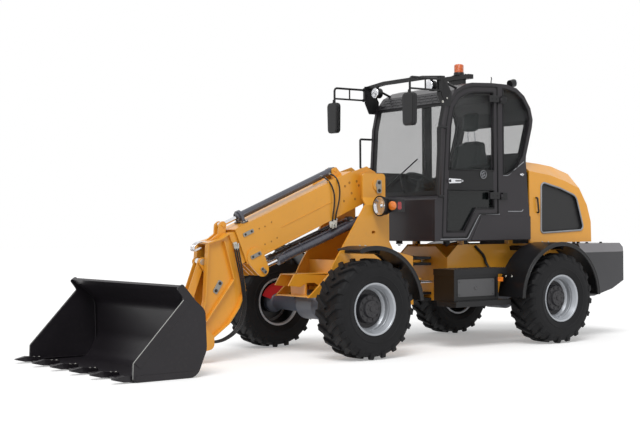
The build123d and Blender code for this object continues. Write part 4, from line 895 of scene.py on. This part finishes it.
# ------ operator's place
def cushion(name, rows, half, cap=22.0, waist=0.0):
    """Stuffed pad: a form a little too small, with rows as its side outline, swollen by cloth pressure."""
    rows = [Vector(r) for r in rows]
    middle = sum(rows, Vector((0, 0))) / len(rows)
    rings = []
    for y in (-half, -half * 0.5, 0, half * 0.5, half):
        pull = 1 - waist * abs(y / half) ** 3
        outline = rounded([middle + (r - middle) * pull for r in rows], 40)
        rings.append([bm.verts.new((p.x, y, p.y)) for p in outline])
    for one, two in zip(rings, rings[1:]):
        for i in range(len(one)):
            j = (i + 1) % len(one)
            bm.faces.new((one[i], one[j], two[j], two[i]))
    bm.faces.new(rings[0])
    bm.faces.new(list(reversed(rings[-1])))
    obj = build(name, FABRIC, REAR, 26.0, segments=3)
    remesh = obj.modifiers.new("voxels", "REMESH")
    remesh.mode = "VOXEL"
    remesh.voxel_size = 0.009
    view = bpy.context.view_layer
    view.update()

    def settle():
        """Put the evaluated shape into the mesh and drop the modifiers."""
        view.update()
        mesh = bpy.data.meshes.new_from_object(obj.evaluated_get(bpy.context.evaluated_depsgraph_get()))
        obj.modifiers.clear()
        obj.data = mesh

    settle()
    start = [v.co.copy() for v in obj.data.vertices]
    cloth = obj.modifiers.new("cloth", "CLOTH")
    cloth.settings.use_pressure = True
    cloth.settings.uniform_pressure_force = 4.0
    cloth.settings.effector_weights.gravity = 0
    cloth.settings.quality = 4
    cloth.point_cache.frame_end = 20
    for k in range(1, 21):
        scene.frame_set(k)
    settle()
    scene.frame_set(1)
    for v, old in zip(obj.data.vertices, start):
        move = v.co - old
        if move.length > cap / 1000:
            v.co = old + move.normalized() * cap / 1000
    smooth = obj.modifiers.new("smooth", "SMOOTH")
    smooth.factor = 0.5
    smooth.iterations = 4
    subdivide = obj.modifiers.new("fine", "SUBSURF")
    subdivide.levels = subdivide.render_levels = 1
    settle()
    obj.data.materials.clear()
    obj.data.materials.append(FABRIC)
    obj.data.shade_smooth()
    return obj


cushion("seat_cushion", [(-1040, 1868), (-560, 1880), (-545, 1972), (-620, 1985), (-1040, 1950)], 236,
        waist=0.08)
cushion("seat_back", [(-1045, 2010), (-920, 2005), (-880, 2075), (-965, 2475), (-1040, 2475), (-1078, 2200)],
        226, waist=0.14)
cushion("seat_headrest", [(-1024, 2572), (-936, 2572), (-954, 2808), (-1026, 2808)], 122, cap=16.0,
        waist=0.12)
for name, hand in SIDES:
    pad = cushion(f"seat_bolster_{name}", [(-1000, 2040), (-880, 2050), (-850, 2120), (-918, 2400),
                                           (-985, 2420)], 24, cap=10.0)
    pad.location.y += hand * 0.205
runs = [run for y in (-118, 118) for run in ([(-566, y, 1982), (-640, y, 1996), (-1010, y, 1966)],
                                             [(-884, y, 2090), (-905, y, 2200), (-950, y, 2440)])]
pipes("seat_seams", runs, 4, SEAM, REAR, 20)
plate([(-1060, 1790), (-600, 1790), (-580, 1862), (-1068, 1862)], 18, side_at(-215), 430)
for z in range(1340, 1790, 32):
    fold = [(-1010, z), (-640, z), (-628, z + 15), (-640, z + 30), (-1010, z + 30), (-1022, z + 15)]
    plate(fold, 8, side_at(-185), 370)
prism(box(-1080, -560, 1288, 1338, 12), side_at(-225), 450)
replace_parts(build("seat_suspension", INTERIOR, REAR, 5.0), "operator_station")
pipes("headrest_posts", [[(-1000, y, 2440), (-985, y, 2600)] for y in (-60, 60)], 8, CHROME, REAR)
for y in (252, -306):
    plate([(-1010, 2120), (-690, 2100), (-690, 2140), (-1010, 2175)], 18, side_at(y), 54)
build("seat_armrests", INTERIOR, REAR, 8.0)

# console, column, wheel and levers
plate([(150, 1288), (150, 1600), (60, 1740), (-60, 1700), (40, 1288)], 34, side_at(-158), 316)
plate([(60, 1748), (-62, 1708), (-70, 1722), (-40, 1772), (52, 1778)], 10, side_at(-120), 240)
build("front_console", INTERIOR, REAR, 10.0)
for y, r in ((-60, 34), (60, 34), (0, 24)):
    lathe((4, y, 1751), (-0.36, 0, 0.93), [(8, r), (14, r), (14, r - 5), (9, r - 7), (9, 0)], 28)
build("console_dials", TRIM, REAR)
wheel_axis = Vector((-130, 0, 240)).normalized()
hub = Vector((-160, 0, 1950))
across = Vector(LEFT)
along_rim = wheel_axis.cross(across)
ring = [(16 * math.sin(math.tau * k / 12), 185 + 16 * math.cos(math.tau * k / 12)) for k in range(13)]
lathe(hub, wheel_axis, ring, 64)
lathe(hub - wheel_axis * 34, wheel_axis, [(0, 34), (20, 42), (34, 44), (42, 30), (44, 0)], 32)
lathe((-20, 0, 1690), wheel_axis, [(0, 40), (60, 36), (64, 28), (200, 26), (250, 32), (262, 32)], 28)
build("steering_wheel", INTERIOR, REAR)
runs = []
for turn in (90, 210, 330):
    ray = across * math.cos(math.radians(turn)) + along_rim * math.sin(math.radians(turn))
    runs.append([hub + ray * 30, hub + ray * 178])
pipes("wheel_spokes", runs, 9, BLACK, REAR)
stems = [[(-560, -330, 1700), (-560, -330, 2050), (-545, -325, 2130)],
         [(-640, -350, 1700), (-640, -350, 1980)]]
pipes("lever_stems", stems, 8, BLACK, REAR, 20)
lathe((-545, -325, 2120), (0.1, 0, 1), [(0, 12), (20, 20), (60, 24), (84, 22), (96, 12), (98, 0)], 20)
lathe((-640, -350, 1975), UP, [(0, 10), (10, 20), (26, 22), (38, 14), (42, 0)], 20)
right = [(-1050, 1288), (-420, 1288), (-420, 1650), (-500, 1716), (-1050, 1740)]
plate(right, 40, side_at(-560), 240)
plate([(-1050, 1288), (-700, 1288), (-740, 1560), (-1050, 1600)], 40, side_at(420), 150)
build("side_consoles", INTERIOR, REAR, 10.0)

# ------ bucket finish
BUCKET_Y = 1162.0
for name, hand in SIDES:
    face = side_at(BUCKET_Y - 1, hand)
    plate([(3794, 750), (4329, 190), (4262, 128), (3740, 694)], 8, face, 7)
    plate([(3700, 6), (4290, 6), (4318, 32), (4296, 66), (3660, 66)], 10, face, 6)
    build(f"bucket_edge_band_{name}", BUCKET, "bucket", 2.0)
    edge = [(x, hand * (BUCKET_Y + 3), z) for x, z in ((3800, 738), (4331, 183), (4338, 36))]
    pipes(f"bucket_worn_edge_{name}", [edge], 4.5, WORN, "bucket", 12)
    weld = [(4290, 34), (3700, 34), (3620, 70), (3580, 160), (3576, 300), (3588, 620), (3640, 690),
            (3800, 830)]
    pipes(f"bucket_weld_{name}", [[(x, hand * (BUCKET_Y - 27), z) for x, z in weld]], 6, BUCKET, "bucket",
          90)
rows = [((x, y * 222.0, 51 + (x - 4240) * 0.03), UP) for y in (-5, -3, -1, 1, 3, 5) for x in (4252, 4306)]
bolts("tooth_bolts", rows, STEEL, "bucket", 10)


# ------ stage, light and camera
def background_rays(tree):
    """1 where a camera, glossy or transmission ray looks, 0 for the rays that light the object."""
    path = node(tree, "LightPath")
    fac = path.outputs["Is Camera Ray"]
    for kind in ("Is Glossy Ray", "Is Transmission Ray"):
        either = node(tree, "Math")
        either.operation = "MAXIMUM"
        tree.links.new(fac, either.inputs[0])
        tree.links.new(path.outputs[kind], either.inputs[1])
        fac = either.outputs[0]
    return fac


def stage_material():
    """Pale floor: it takes the object's shadow, and is white where nothing shades it."""
    stops = [(0.3, (0.86, 0.86, 0.86)), (0.7, (0.88, 0.88, 0.88))]
    mat = surface("studio_floor", (2.0, 2.0), stops, (2.0, 2.0), (0.8, 0.9), Specular_IOR_Level=0.0)
    tree = mat.node_tree
    link = tree.links.new
    kinds = {n.type: n for n in tree.nodes}
    glow = node(tree, "Emission")
    level = node(tree, "Math")
    level.operation = "MULTIPLY"
    level.inputs[1].default_value = 0.28
    both = node(tree, "AddShader")
    link(background_rays(tree), level.inputs[0])
    link(level.outputs[0], glow.inputs["Strength"])
    link(kinds["BSDF_PRINCIPLED"].outputs["BSDF"], both.inputs[0])
    link(glow.outputs["Emission"], both.inputs[1])
    link(both.outputs["Shader"], kinds["OUTPUT_MATERIAL"].inputs["Surface"])
    return mat


edge = 60.0  # metres, half the floor's side
mesh = bpy.data.meshes.new("studio_floor")
mesh.from_pydata([(-edge, -edge, 0), (edge, -edge, 0), (edge, edge, 0), (-edge, edge, 0)], [],
                 [(0, 1, 2, 3)])
mesh.materials.append(stage_material())
placed("studio_floor", mesh)

world = bpy.data.worlds.new("studio")
scene.world = world
world.use_nodes = True
tree = world.node_tree
tree.nodes.clear()
mix = node(tree, "MixShader")
tree.links.new(background_rays(tree), mix.inputs["Fac"])
for k, strength in ((1, 0.55), (2, 1.0)):  # the light on the object, and the white seen behind it
    sky = node(tree, "Background", Color=(1, 1, 1, 1), Strength=strength)
    tree.links.new(sky.outputs["Background"], mix.inputs[k])
tree.links.new(mix.outputs["Shader"], node(tree, "OutputWorld").inputs["Surface"])

sun = bpy.data.lights.new("key_light", "SUN")
sun.energy = 1.7
sun.angle = math.radians(28)
key_light = placed("key_light", sun)
key_light.rotation_euler = Vector((-0.42, -0.45, -0.78)).to_track_quat("-Z", "Y").to_euler()

camera_data = bpy.data.cameras.new("camera")
camera_data.sensor_width = 36.0
camera_data.lens = 70.1
camera_data.clip_end = 200.0
camera = placed("camera", camera_data)
gaze = Vector((-0.5927, -0.8054, 0.0)).normalized()
side = gaze.cross(Vector(UP)).normalized()
up = side.cross(gaze)
roll = -0.0074
side, up = side * math.cos(roll) + up * math.sin(roll), up * math.cos(roll) - side * math.sin(roll)
turn = Matrix((side, up, -gaze)).transposed().to_4x4()
camera.matrix_world = Matrix.Translation(at(9690.05, 11335.98, 1443.19)) @ turn
scene.camera = camera
scene.view_settings.view_transform = "Standard"
